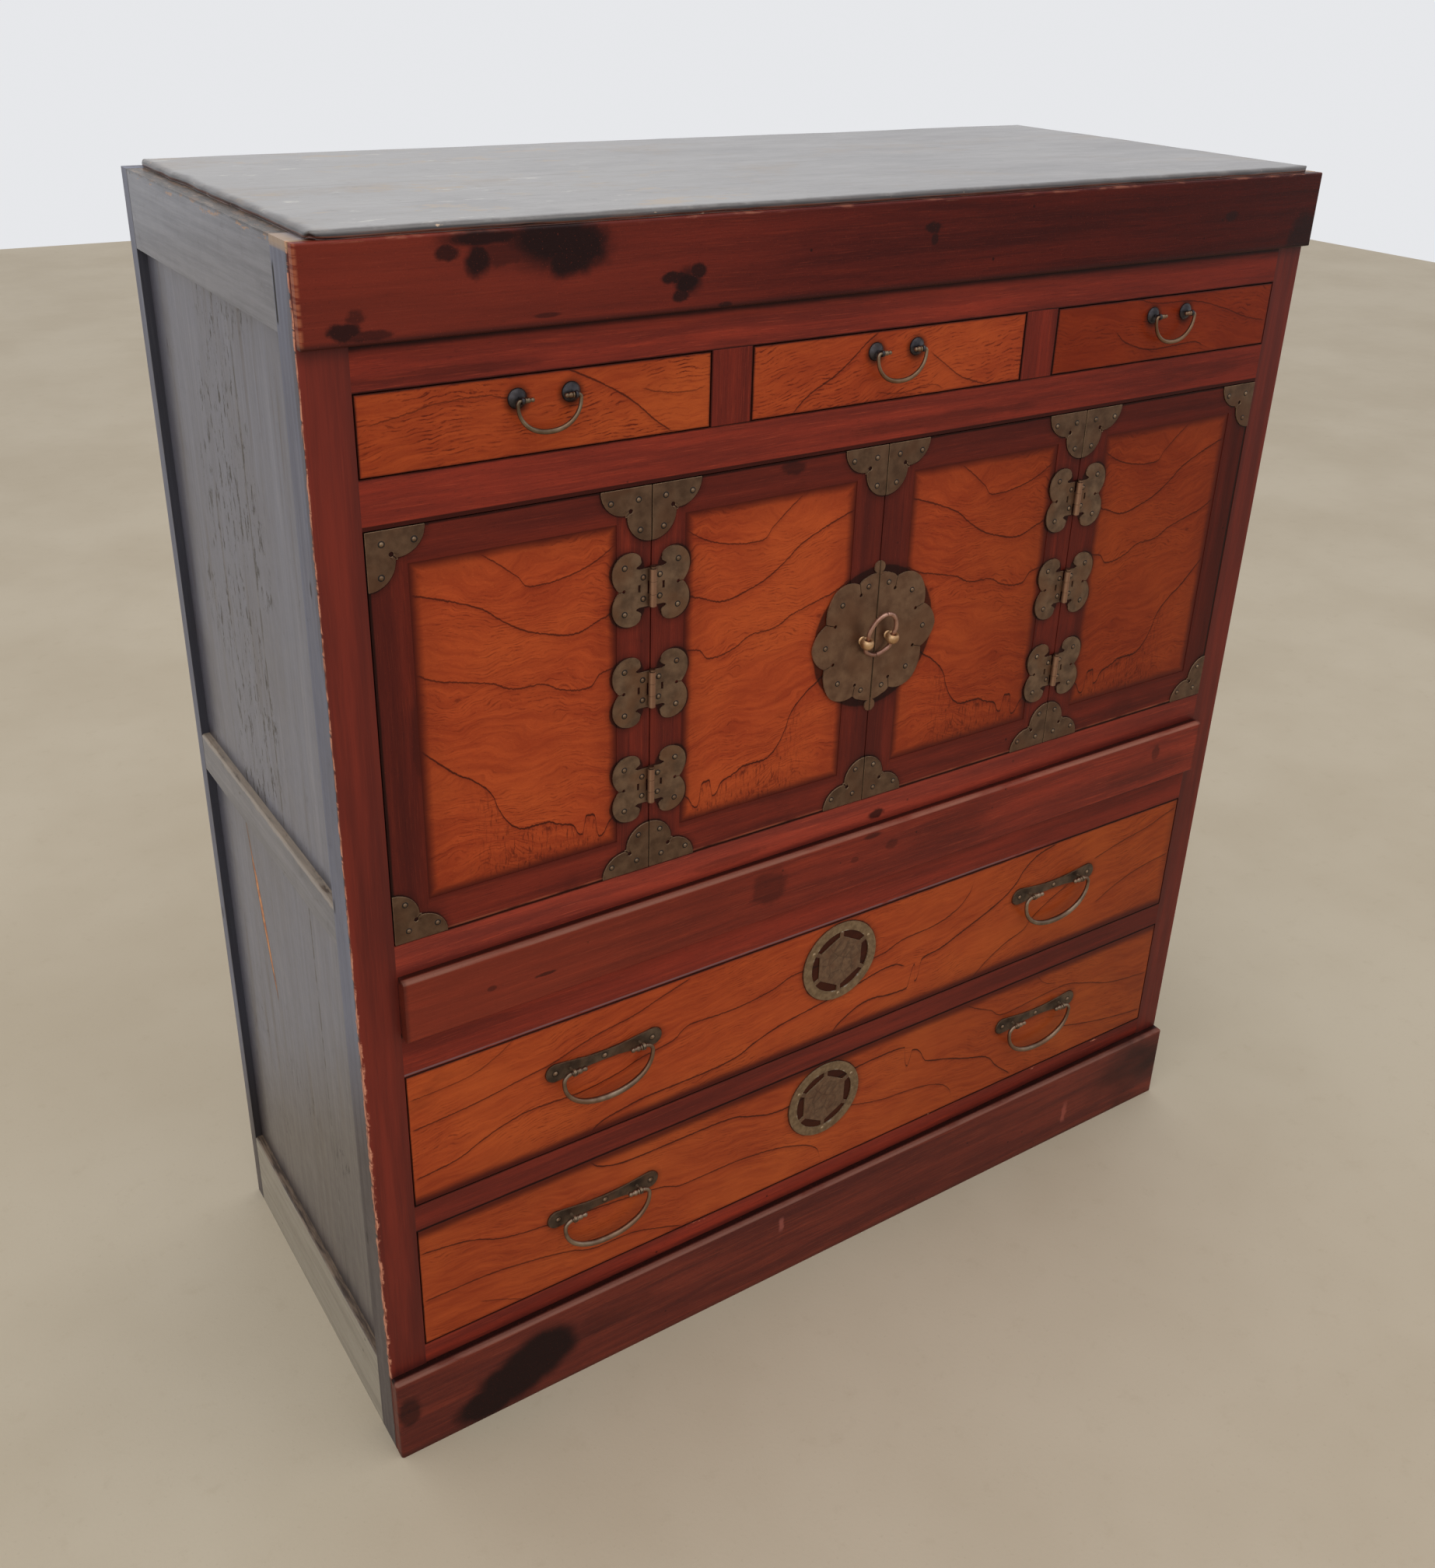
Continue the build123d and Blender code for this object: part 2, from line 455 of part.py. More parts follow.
for tag, zz in (("upper", (Z_L1_BOT, Z_L1_TOP)), ("lower", (Z_L2_BOT, Z_L2_TOP))):
    d = LARGE[tag]
    name = f"{tag}_wide_drawer"
    drawer(name, -OPEN_X + 1.0, OPEN_X - 1.0, zz[0] + 0.4, zz[1] - 0.8, zz[0] + 128)
    b = BAIL_L
    for s, x in zip(("left", "right"), d["xs"]):
        pl_ = plate(BAR, x, d["z"], LOCK_T)
        for q in (-1, 1):
            pl_ += eye_loop(x + q * b["eye"], b["y"], d["z"], b["r0"], -LOCK_T + 0.2, thick=1.5, w=2.8)
        for q in (-54, 0, 54):
            pl_ += nail(x + q, d["z"], -LOCK_T)
        add(f"{name}_handle_plates", pl_)
        bail(f"{name}_bail_{s}", x, b["y"], d["z"], b["half"], b["drop"], b["eye"], b["r0"], b["r1"], b["re"])
    dx, dz = d["disc"]
    disc = plate(DISC, dx, dz, LOCK_T)
    for ang in (150, 30, -90):
        disc += nail(dx + 41.6 * math.cos(math.radians(ang)), dz + 41.6 * math.sin(math.radians(ang)), -LOCK_T)
    add(f"{name}_disc", disc)

# ------------------------------------------------------------- place and write
lo, hi = [1e9] * 3, [-1e9] * 3
for name, sol in NODES.items():
    for s in sol:
        bb = s.bounding_box(optimal=True)
        for i, (a, c) in enumerate(((bb.min.X, bb.max.X), (bb.min.Y, bb.max.Y), (bb.min.Z, bb.max.Z))):
            lo[i] = min(lo[i], a)
            hi[i] = max(hi[i], c)
SHIFT = -(lo[1] + hi[1]) / 2
print("box", [round(v, 3) for v in lo], [round(v, 3) for v in hi], "shift_y", round(SHIFT, 4))
print("nodes", len(NODES))
for name, sol in NODES.items():
    placed = [s.moved(Location((0, SHIFT, 0))) for s in sol]
    export_step(placed[0] if len(placed) == 1 else Compound(children=placed), f"parts/{name}.step")
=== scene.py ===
import bpy
import bmesh
import math
from mathutils import Matrix, Vector, noise


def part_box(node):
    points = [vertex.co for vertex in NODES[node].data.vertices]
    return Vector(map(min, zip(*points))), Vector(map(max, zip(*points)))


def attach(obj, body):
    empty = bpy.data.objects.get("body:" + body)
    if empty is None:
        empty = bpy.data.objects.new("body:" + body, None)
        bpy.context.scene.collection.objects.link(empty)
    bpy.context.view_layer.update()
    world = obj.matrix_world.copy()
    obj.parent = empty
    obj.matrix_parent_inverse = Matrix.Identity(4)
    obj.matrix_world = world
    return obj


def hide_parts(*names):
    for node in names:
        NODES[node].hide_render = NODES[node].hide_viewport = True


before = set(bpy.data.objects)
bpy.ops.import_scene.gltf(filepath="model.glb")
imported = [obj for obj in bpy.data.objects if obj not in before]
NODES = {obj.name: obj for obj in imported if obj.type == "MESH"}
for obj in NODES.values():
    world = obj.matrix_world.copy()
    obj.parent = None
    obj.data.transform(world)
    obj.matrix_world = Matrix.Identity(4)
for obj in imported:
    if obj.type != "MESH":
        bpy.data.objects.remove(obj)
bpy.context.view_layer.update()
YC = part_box("middle_board")[1].y          # the front frame's face, in the row frame


def lin(r, g, b):
    """display colour 0-255 to linear"""
    def f(c):
        c /= 255.0
        return c / 12.92 if c <= 0.04045 else ((c + 0.055) / 1.055) ** 2.4
    return (f(r), f(g), f(b), 1.0)


# ---------------------------------------------------------------- node graphs
class Graph:
    """a small builder for one material; coordinates are in millimetres, with y = 0 on the front frame's face"""

    def __init__(self, name):
        self.m = bpy.data.materials.new(name)
        self.m.use_nodes = True
        self.nt = self.m.node_tree
        self.nt.nodes.clear()
        self.out = self.nt.nodes.new("ShaderNodeOutputMaterial")
        self.b = self.nt.nodes.new("ShaderNodeBsdfPrincipled")
        self.nt.links.new(self.b.outputs[0], self.out.inputs[0])
        tc = self.nt.nodes.new("ShaderNodeTexCoord")
        mp = self.nt.nodes.new("ShaderNodeMapping")
        mp.inputs["Location"].default_value = (0, -YC * 1000.0, 0)
        mp.inputs["Scale"].default_value = (1000, 1000, 1000)
        self.nt.links.new(tc.outputs["Object"], mp.inputs["Vector"])
        sp = self.nt.nodes.new("ShaderNodeSeparateXYZ")
        self.nt.links.new(mp.outputs[0], sp.inputs[0])
        self.P = mp.outputs[0]
        self.x, self.y, self.z = sp.outputs
        self._n = None

    def put(self, sock, v):
        if isinstance(v, bpy.types.NodeSocket):
            self.nt.links.new(v, sock)
        else:
            sock.default_value = v

    def f(self, op, a, b=None, c=None, clamp=False):
        n = self.nt.nodes.new("ShaderNodeMath")
        n.operation = op
        n.use_clamp = clamp
        for i, v in enumerate((a, b, c)):
            if v is not None:
                self.put(n.inputs[i], v)
        return n.outputs[0]

    def add(self, *v):
        r = v[0]
        for q in v[1:]:
            r = self.f("ADD", r, q)
        return r

    def mul(self, *v):
        r = v[0]
        for q in v[1:]:
            r = self.f("MULTIPLY", r, q)
        return r

    def sub(self, a, b):
        return self.f("SUBTRACT", a, b)

    def max(self, *v):
        r = v[0]
        for q in v[1:]:
            r = self.f("MAXIMUM", r, q)
        return r

    def min(self, *v):
        r = v[0]
        for q in v[1:]:
            r = self.f("MINIMUM", r, q)
        return r

    def abs(self, a):
        return self.f("ABSOLUTE", a)

    def step(self, v, lo, hi):
        """0 below lo, 1 above hi, smooth between; lo above hi turns it round"""
        n = self.nt.nodes.new("ShaderNodeMapRange")
        n.interpolation_type = "SMOOTHSTEP"
        a, b, c, d = (lo, hi, 0.0, 1.0) if lo < hi else (hi, lo, 1.0, 0.0)
        for i, q in enumerate((v, a, b, c, d)):
            self.put(n.inputs[i], q)
        return n.outputs[0]

    def vec(self, x, y, z):
        n = self.nt.nodes.new("ShaderNodeCombineXYZ")
        for i, q in enumerate((x, y, z)):
            self.put(n.inputs[i], q)
        return n.outputs[0]

    def noise(self, vec, scale=1.0, detail=3.0, rough=0.55, dist=0.0, colour=False):
        n = self.nt.nodes.new("ShaderNodeTexNoise")
        self.put(n.inputs["Vector"], vec)
        n.inputs["Scale"].default_value = scale
        n.inputs["Detail"].default_value = detail
        n.inputs["Roughness"].default_value = rough
        n.inputs["Distortion"].default_value = dist
        return n.outputs["Color" if colour else "Fac"]

    def sn(self, vec, scale=1.0, detail=3.0, rough=0.55, dist=0.0):
        """noise centred on 0, about -1 to 1"""
        return self.mul(self.sub(self.noise(vec, scale, detail, rough, dist), 0.5), 2.6)

    def voronoi(self, vec, scale=1.0, feature="F1", out="Distance"):
        n = self.nt.nodes.new("ShaderNodeTexVoronoi")
        n.feature = feature
        self.put(n.inputs["Vector"], vec)
        n.inputs["Scale"].default_value = scale
        return n.outputs[out]

    def mix(self, fac, a, b, mode="MIX"):
        n = self.nt.nodes.new("ShaderNodeMix")
        n.data_type = "RGBA"
        n.blend_type = mode
        self.put(n.inputs[0], fac)
        self.put(n.inputs[6], a)
        self.put(n.inputs[7], b)
        return n.outputs[2]

    def ramp(self, fac, stops):
        n = self.nt.nodes.new("ShaderNodeValToRGB")
        self.put(n.inputs[0], fac)
        els = n.color_ramp.elements
        while len(els) < len(stops):
            els.new(0.5)
        for e, (p, c) in zip(els, stops):
            e.position = p
            e.color = c
        return n.outputs[0]

    def curve(self, v, pts, a0, a1, b0, b1):
        """a drawn curve: v from a0..a1 to b0..b1 through the points"""
        t = self.nt.nodes.new("ShaderNodeMapRange")
        for i, q in enumerate((v, a0, a1, 0.0, 1.0)):
            self.put(t.inputs[i], q)
        n = self.nt.nodes.new("ShaderNodeFloatCurve")
        self.put(n.inputs["Value"], t.outputs[0])
        c = n.mapping.curves[0]
        nn = sorted(((p - a0) / (a1 - a0), (q - b0) / (b1 - b0)) for p, q in pts)
        c.points[0].location = nn[0]
        c.points[1].location = nn[-1]
        for p in nn[1:-1]:
            c.points.new(*p)
        for p in c.points:
            p.handle_type = "AUTO_CLAMPED"
        n.mapping.update()
        return self.add(self.mul(n.outputs[0], b1 - b0), b0)

    def normal(self):
        if self._n is None:
            g = self.nt.nodes.new("ShaderNodeNewGeometry")
            s = self.nt.nodes.new("ShaderNodeSeparateXYZ")
            self.nt.links.new(g.outputs["Normal"], s.inputs[0])
            self._n = s.outputs
        return self._n

    def bump(self, height, dist=0.001, strength=1.0):
        n = self.nt.nodes.new("ShaderNodeBump")
        n.inputs["Strength"].default_value = strength
        n.inputs["Distance"].default_value = dist
        self.put(n.inputs["Height"], height)
        self.nt.links.new(n.outputs[0], self.b.inputs["Normal"])

    def done(self, colour, rough, metal=None, spec=None, coat=None, coat_rough=None, ior=None):
        self.put(self.b.inputs["Base Color"], colour)
        self.put(self.b.inputs["Roughness"], rough)
        if metal is not None:
            self.put(self.b.inputs["Metallic"], metal)
        if spec is not None:
            self.b.inputs["Specular IOR Level"].default_value = spec
        if coat is not None:
            self.b.inputs["Coat Weight"].default_value = coat
            self.b.inputs["Coat Roughness"].default_value = coat_rough or 0.2
        if ior is not None:
            self.b.inputs["IOR"].default_value = ior
        return self.m


def blot(g, cx, cz, rx, rz, soft=0.5, wob=0.35, ns=0.03, seed=0.0):
    """a ragged dark patch"""
    dx = g.mul(g.sub(g.x, cx), 1.0 / rx)
    dz = g.mul(g.sub(g.z, cz), 1.0 / rz)
    r = g.f("SQRT", g.add(g.mul(dx, dx), g.mul(dz, dz)))
    n = g.sn(g.vec(g.add(g.x, seed), seed, g.z), ns, 4, 0.6)
    return g.step(g.add(r, g.mul(n, wob)), 1.0 + soft * 0.3, 1.0 - soft * 0.7)


def hyp(g, dx, dz):
    return g.f("SQRT", g.add(g.mul(dx, dx), g.mul(dz, dz)))


def fitting_shade_and_grime(g):
    """painted shade and grime: dark under and just round the hinges, the corner brackets and the lock plate"""
    u = g.abs(g.sub(g.abs(g.x), 251.5))
    zh = g.abs(g.sub(g.z, 784.0))
    zh = g.min(zh, g.abs(g.sub(zh, 96.0)))
    lobe = g.sub(hyp(g, g.sub(u, 23.5), g.sub(zh, 17.0)), 15.5)
    tab = g.max(g.sub(u, 20.0), g.sub(zh, 17.0))
    d = g.min(lobe, tab)
    uc = g.min(u, g.sub(251.5, u))
    zc = g.min(g.sub(g.z, 600.4), g.sub(970.4, g.z))
    br = g.min(hyp(g, g.sub(uc, 25.0), zc), hyp(g, uc, g.sub(zc, 25.0)))
    d = g.min(d, g.sub(br, 23.2))
    lk = hyp(g, g.x, g.sub(g.z, 779.5))
    d = g.min(d, g.sub(lk, 71.0))
    d = g.add(d, g.mul(g.sn(g.vec(g.mul(g.x, 0.09), 0.0, g.mul(g.z, 0.09)), 1.0, 3), 1.1))
    return g.mul(g.max(g.mul(g.step(d, 3.6, 0.6), 0.86), g.mul(g.step(d, 9.0, 1.0), 0.30)), g.step(g.y, 9.0, 7.0))


# ------------------------------------------------------------------ red frame
RED = lin(128, 43, 28)
RED_HI = lin(152, 60, 38)
RED_LO = lin(92, 31, 23)
RED_BLACK = lin(38, 18, 16)
TAN = lin(205, 128, 84)
INK0 = lin(20, 10, 9)


def red_wood(name, grain="x", blots=(), extra=None, light=1.0, gloss=0.26):
    g = Graph(name)
    if grain == "x":
        a, c = g.x, g.z
    elif grain == "z":
        a, c = g.z, g.x
    elif grain == "leaf":
        # stiles run upright, rails run across
        ux = g.abs(g.sub(g.abs(g.x), 251.5))
        st = g.max(g.step(ux, 33.8, 33.2), g.step(ux, 217.4, 218.4))
        a = g.add(g.mul(g.z, st), g.mul(g.x, g.sub(1.0, st)))
        c = g.add(g.mul(g.x, st), g.mul(g.z, g.sub(1.0, st)))
    wob = g.mul(g.sn(g.vec(g.mul(a, 0.006), g.mul(c, 0.02), g.mul(g.y, 0.02)), 1.0, 2), 3.0)
    cc = g.add(c, wob)
    broad = g.noise(g.vec(g.mul(a, 0.0035), g.mul(cc, 0.06), g.mul(g.y, 0.05)), 1.0, 4, 0.6)
    fine = g.noise(g.vec(g.mul(a, 0.020), g.mul(cc, 0.80), g.mul(g.y, 0.6)), 1.0, 5, 0.75)
    vein = g.noise(g.vec(g.mul(a, 0.008), g.mul(cc, 0.28), g.mul(g.y, 0.2)), 1.0, 4, 0.7)
    pores = g.noise(g.vec(g.mul(a, 0.10), g.mul(cc, 1.9), g.mul(g.y, 1.4)), 1.0, 3, 0.7)
    cloud = g.noise(g.vec(g.mul(g.x, 0.007), g.mul(g.y, 0.007), g.mul(g.z, 0.009)), 1.0, 3, 0.6)
    col = g.mix(g.step(broad, 0.30, 0.72), RED_LO, RED)
    col = g.mix(g.mul(g.step(fine, 0.54, 0.70), 0.60), col, RED_HI)
    col = g.mix(g.mul(g.step(fine, 0.46, 0.30), 0.75), col, RED_LO)
    col = g.mix(g.mul(g.step(vein, 0.58, 0.68), 0.55), col, lin(80, 26, 20))
    col = g.mix(g.mul(g.step(vein, 0.42, 0.33), 0.35), col, lin(150, 54, 32))
    col = g.mix(g.mul(g.step(pores, 0.58, 0.68), 0.55), col, RED_BLACK)
    col = g.mix(g.mul(g.step(cloud, 0.52, 0.75), 0.30), col, RED_LO)
    speck = g.voronoi(g.vec(g.mul(g.x, 0.045), g.mul(g.y, 0.045), g.mul(g.z, 0.045)), 1.0)
    sp2 = g.noise(g.P, 0.011, 2)
    col = g.mix(g.mul(g.step(speck, 0.085, 0.04), g.step(sp2, 0.52, 0.6), 0.8), col, RED_BLACK)
    dark = None
    for q in blots:
        k = blot(g, *q[:4], **(q[5] if len(q) > 5 else {}))
        k = g.mul(k, q[4])
        dark = k if dark is None else g.max(dark, k)
    if light != 1.0:
        k = light if isinstance(light, tuple) else (light, light, light)
        col = g.mix(1.0, col, (*k, 1), "MULTIPLY")
    rough = g.add(gloss, g.mul(fine, 0.14), g.mul(cloud, 0.08))
    if extra:
        col, rough = extra(g, col, rough)
    if dark is not None:
        col = g.mix(dark, col, lin(30, 15, 15))
    # fine dust and wear in the lacquer
    dust = g.noise(g.P, 0.85, 2, 0.6)
    col = g.mix(g.mul(g.step(dust, 0.62, 0.76), 0.35), col, RED_BLACK)
    col = g.mix(g.mul(g.step(dust, 0.36, 0.26), 0.30), col, lin(156, 66, 44))
    h = g.add(g.mul(fine, 0.5), g.mul(pores, 0.35), g.mul(broad, 0.6))
    g.bump(h, 0.0004, 0.4)
    return g.done(col, rough, spec=0.10)


def cornice_extra(g, col, rough):
    # darker to the right, lighter and more orange on the left
    left = g.step(g.x, -60.0, -520.0)
    col = g.mix(g.mul(left, 0.42), col, lin(163, 64, 40))
    right = g.step(g.x, -250.0, 420.0)
    col = g.mix(1.0, col, g.mix(right, (0.63, 0.68, 0.84, 1), (0.31, 0.23, 0.25, 1)), "MULTIPLY")
    # worn top edge
    n = g.noise(g.vec(g.mul(g.x, 0.035), 0.0, g.mul(g.z, 0.25)), 1.0, 4, 0.6)
    k = g.mul(g.step(g.z, 1180.4, 1182.6), g.step(n, 0.50, 0.62), 0.55)
    col = g.mix(k, col, lin(150, 92, 70))
    k = g.mul(g.step(g.x, -536.5, -539.3), g.step(n, 0.4, 0.55), 0.6)
    col = g.mix(k, col, lin(176, 105, 74))
    # painted shade along the cornice's lower edge
    low = g.mul(g.step(g.z, 1117.0, 1111.0), 0.8)
    col = g.mix(low, col, lin(45, 22, 20))
    return col, rough


M_CORNICE = red_wood("mat_cornice", "x", blots=[
    (-344, 1174, 44, 25, 0.98, dict(wob=0.22, ns=0.035, soft=0.75)), (-316, 1168, 24, 20, 0.98, dict(wob=0.30, ns=0.05, seed=21, soft=0.75)),
    (-330, 1156, 26, 12, 0.97, dict(wob=0.35, ns=0.05, seed=33, soft=0.75)), (-398, 1178, 40, 7, 0.95, dict(wob=0.35, ns=0.05, seed=40, soft=0.75)),
    (-404, 1163, 10, 13, 0.95, dict(wob=0.5, ns=0.06, seed=60, soft=0.75)), (-428, 1170, 10, 7, 0.85, dict(wob=0.5, ns=0.07, seed=64)), (-386, 1166, 22, 10, 0.6, dict(wob=0.5, ns=0.06, seed=70)),
    (-226, 1133, 14, 12, 0.98, dict(wob=0.40, ns=0.07, soft=0.75)), (-238, 1138, 15, 5, 0.92, dict(wob=0.5, ns=0.09, seed=9)), (-216, 1141, 9, 7, 0.9, dict(wob=0.45, ns=0.09, seed=19)), (-232, 1124, 9, 6, 0.9, dict(wob=0.5, ns=0.09, seed=29)),
    (-508, 1121, 13, 7, 0.9, dict(wob=0.6, ns=0.07)), (-492, 1117, 22, 4, 0.7, dict(wob=0.6, ns=0.07)), (-499, 1130, 7, 6, 0.6, dict(wob=0.6, ns=0.09)),
    (23, 1159, 10, 5, 0.8, dict(wob=0.6, ns=0.1)), (26, 1150, 4, 5, 0.7), (410, 1148, 10, 5, 0.65, dict(wob=0.6, ns=0.1)),
    (525, 1120, 24, 26, 0.8, dict(wob=0.5, ns=0.05)), (-350, 1119, 12, 2.2, 0.6), (-190, 1113, 7, 2.5, 0.7)], extra=cornice_extra)


def middle_extra(g, col, rough):
    left = g.step(g.x, 0.0, -500.0)
    col = g.mix(g.mul(left, 0.30), col, lin(165, 66, 42))
    n = g.noise(g.vec(g.mul(g.x, 0.012), 0.0, g.mul(g.z, 0.1)), 1.0, 4, 0.6)
    # painted highlight: a thin broken light line along the top front edge
    k = g.mul(g.step(g.z, 563.6, 565.6), g.step(n, 0.20, 0.55), g.step(g.y, -5.0, -8.0), 0.60)
    col = g.mix(k, col, lin(150, 104, 88))
    # painted shade: near-black along the back of the top, in the joint against the rail
    col = g.mix(g.mul(g.step(g.y, -7.5, -4.0), g.step(g.z, 560.0, 564.0), 0.85), col, INK0)
    col = g.mix(g.mul(g.step(g.abs(g.x), 497.5, 501.5), 0.55), col, lin(66, 30, 25))
    col = g.mix(1.0, col, g.mix(g.step(g.x, -350.0, 300.0), (0.92, 1.0, 1.0, 1), (1.22, 1.20, 1.16, 1)), "MULTIPLY")
    c1 = g.voronoi(g.vec(g.mul(g.x, 0.02), 0.0, g.mul(g.z, 0.02)), 1.0)
    n2 = g.noise(g.P, 0.02, 2)
    col = g.mix(g.mul(g.step(c1, 0.09, 0.05), g.step(n2, 0.58, 0.62), g.step(g.z, 560.0, 555.0)), col, TAN)
    rough = g.add(rough, g.mul(g.step(g.z, 560.0, 566.0), 0.1))
    return col, rough


M_MIDDLE = red_wood("mat_middle_board", "x", blots=[
    (-118, 540, 22, 22, 0.45, dict(wob=0.5, ns=0.04)), (-12, 538, 6, 4, 0.38, dict(wob=0.4, ns=0.1)), (36, 542, 9, 6, 0.42, dict(wob=0.5, ns=0.08)),
    (10, 560, 12, 4, 0.6), (430, 545, 7, 12, 0.55, dict(wob=0.5, ns=0.06)), (-420, 532, 5, 3, 0.5), (120, 538, 60, 26, 0.22, dict(wob=0.4, ns=0.03, soft=0.9)),
    (420, 528, 70, 18, 0.25, dict(wob=0.4, ns=0.03)), (-366, 528, 13, 2, 0.7, dict(wob=0.5, ns=0.1))], extra=middle_extra, light=(0.98, 1.12, 1.22))


def plinth_extra(g, col, rough):
    n = g.noise(g.vec(g.mul(g.x, 0.014), 0.0, g.mul(g.z, 0.12)), 1.0, 4, 0.6)
    # painted highlight: a thin broken light line along the top front edge
    k = g.mul(g.step(g.z, 98.4, 100.4), g.step(n, 0.20, 0.52), g.step(g.y, -5.0, -8.0), 0.6)
    col = g.mix(k, col, lin(140, 100, 86))
    # painted shade: near-black along the back of the top, in the joint against the rail
    col = g.mix(g.mul(g.step(g.y, -7.5, -4.0), g.step(g.z, 96.0, 99.0), 0.88), col, INK0)
    right = g.step(g.x, 330.0, 520.0)
    n2 = g.noise(g.vec(g.mul(g.x, 0.012), 0.0, g.mul(g.z, 0.02)), 1.0, 4, 0.6)
    col = g.mix(g.mul(right, g.step(n2, 0.36, 0.66), 0.75), col, lin(52, 27, 24))
    drip = g.mul(g.step(g.abs(g.sub(g.add(g.x, g.mul(g.sn(g.P, 0.09, 2), 3.0)), -78.0)), 5.0, 2.0), g.step(g.z, 62.0, 70.0), g.step(g.z, 88.0, 80.0))
    col = g.mix(g.mul(drip, 0.5), col, lin(170, 96, 84))
    drip = g.mul(g.step(g.abs(g.sub(g.add(g.x, g.mul(g.sn(g.P, 0.09, 2), 3.0)), 372.0)), 5.5, 2.0), g.step(g.z, 18.0, 26.0), g.step(g.z, 60.0, 40.0))
    col = g.mix(g.mul(drip, 0.5), col, lin(165, 88, 74))
    low = g.mul(g.step(g.z, 9.0, 1.0), 0.5)
    col = g.mix(low, col, lin(60, 36, 30))
    return col, rough


M_PLINTH = red_wood("mat_plinth", "x", blots=[
    (-378, 55, 42, 34, 0.98, dict(wob=0.14, ns=0.03, soft=0.5)), (-412, 36, 50, 32, 0.98, dict(wob=0.14, ns=0.035, seed=30, soft=0.5)), (-446, 20, 38, 24, 0.97, dict(wob=0.16, ns=0.04, seed=11, soft=0.5)), (-396, 45, 46, 34, 0.98, dict(wob=0.12, ns=0.035, seed=50, soft=0.5)),
    (-528, 60, 12, 22, 0.7, dict(wob=0.4, ns=0.05)),
    (498, 60, 84, 34, 0.62, dict(wob=0.3, ns=0.03, soft=1.0)), (-300, 60, 60, 14, 0.25, dict(wob=0.5, ns=0.03))], extra=plinth_extra, light=(0.80, 1.28, 1.55))


def rails_extra(g, col, rough):
    """dark bands: a painted shadow under the cornice and airbrushed darkening around the openings; small chips on the
    lower rail
    """
    n = g.mul(g.sn(g.vec(g.mul(g.x, 0.011), 0.0, 0.0), 1.0, 3), 2.5)
    zz = g.add(g.z, n)
    k = g.mul(g.step(zz, 1096.0, 1111.0), 0.65)
    k = g.max(k, g.mul(g.step(zz, 490.0, 504.0), g.step(g.z, 570.0, 560.0), 0.8))
    k = g.max(k, g.mul(g.step(zz, 576.0, 567.0), g.step(g.z, 520.0, 560.0), 0.30))
    k = g.max(k, g.mul(g.step(zz, 112.0, 102.0), 0.6))
    # dark band between the two wide drawers
    k = g.max(k, g.mul(g.step(zz, 268.0, 274.0), g.step(zz, 320.0, 308.0), 0.38))
    # uprights of the rails beside the small drawers
    k = g.max(k, g.mul(g.step(g.abs(g.sub(g.abs(g.x), 175.0)), 26.0, 14.0), g.step(g.z, 1000.0, 1014.0), g.step(g.z, 1090.0, 1070.0), 0.25))
    col = g.mix(k, col, lin(62, 27, 24))
    col = g.mix(g.mul(g.step(g.z, 566.0, 574.0), g.step(g.z, 606.0, 600.0)), col, g.mix(1.0, col, (1.28, 1.46, 1.50, 1), "MULTIPLY"))
    # painted shade: near-black lines in the joint under the cornice and along each opening, where the gaps fall in
    # shadow
    n3 = g.mul(g.sn(g.vec(g.mul(g.x, 0.03), 3.0, 0.0), 1.0, 3), 0.9)
    z3 = g.add(g.z, n3)
    gap_shade = g.step(z3, 1103.5, 1108.0)
    for zz0, dn in ((1075.0, 1), (1011.0, -1), (971.0, -1), (599.7, -1), (503.5, -1), (458.2, 1), (306.0, -1), (275.0, 1), (127.2, -1), (101.6, 1)):
        lo_, hi_ = (zz0 + 1.8, zz0 + 0.3) if dn > 0 else (zz0 - 1.8, zz0 - 0.3)
        gap_shade = g.max(gap_shade, g.mul(g.step(z3, lo_, hi_), g.step(g.z, zz0 - 4.0, zz0 - 3.0), g.step(g.z, zz0 + 4.0, zz0 + 3.0)))
    col = g.mix(g.mul(gap_shade, 0.82), col, lin(18, 8, 7))
    col = g.mix(1.0, col, g.mix(g.step(g.x, -40.0, 440.0), (1, 1, 1, 1), (0.70, 0.64, 0.66, 1)), "MULTIPLY")
    # chips where the bottom drawer rubs
    c = g.noise(g.vec(g.mul(g.x, 0.018), 0.0, g.mul(g.z, 0.12)), 1.0, 4, 0.65)
    ch = g.mul(g.step(g.abs(g.sub(g.z, 125.6)), 3.4, 1.5), g.step(c, 0.625, 0.65))
    col = g.mix(ch, col, lin(214, 136, 106))
    c = g.noise(g.vec(g.mul(g.x, 0.03), 5.0, g.mul(g.z, 0.12)), 1.0, 4, 0.65)
    ch = g.mul(g.step(g.abs(g.sub(g.z, 459.5)), 2.4, 1.2), g.step(c, 0.66, 0.68))
    col = g.mix(ch, col, lin(200, 122, 96))
    # painted reflection: a grey-blue line along the lip above the upper drawer
    grey_reflection = g.mul(g.step(g.abs(g.sub(g.z, 460.6)), 1.3, 0.7), g.step(c, 0.30, 0.48), g.step(g.x, 330.0, 180.0))
    col = g.mix(g.mul(grey_reflection, 0.55), col, lin(122, 106, 108))
    return col, rough


def muntin_extra(g, col, rough):
    ux = g.abs(g.sub(g.abs(g.x), 174.75))
    col = g.mix(1.0, col, g.mix(g.step(g.x, -40.0, 440.0), (1, 1, 1, 1), (0.78, 0.70, 0.72, 1)), "MULTIPLY")
    # painted shade: a near-black line along each edge of the muntins, beside the openings
    return g.mix(g.mul(g.step(ux, 18.4, 19.9), 0.8), col, lin(20, 8, 7)), rough


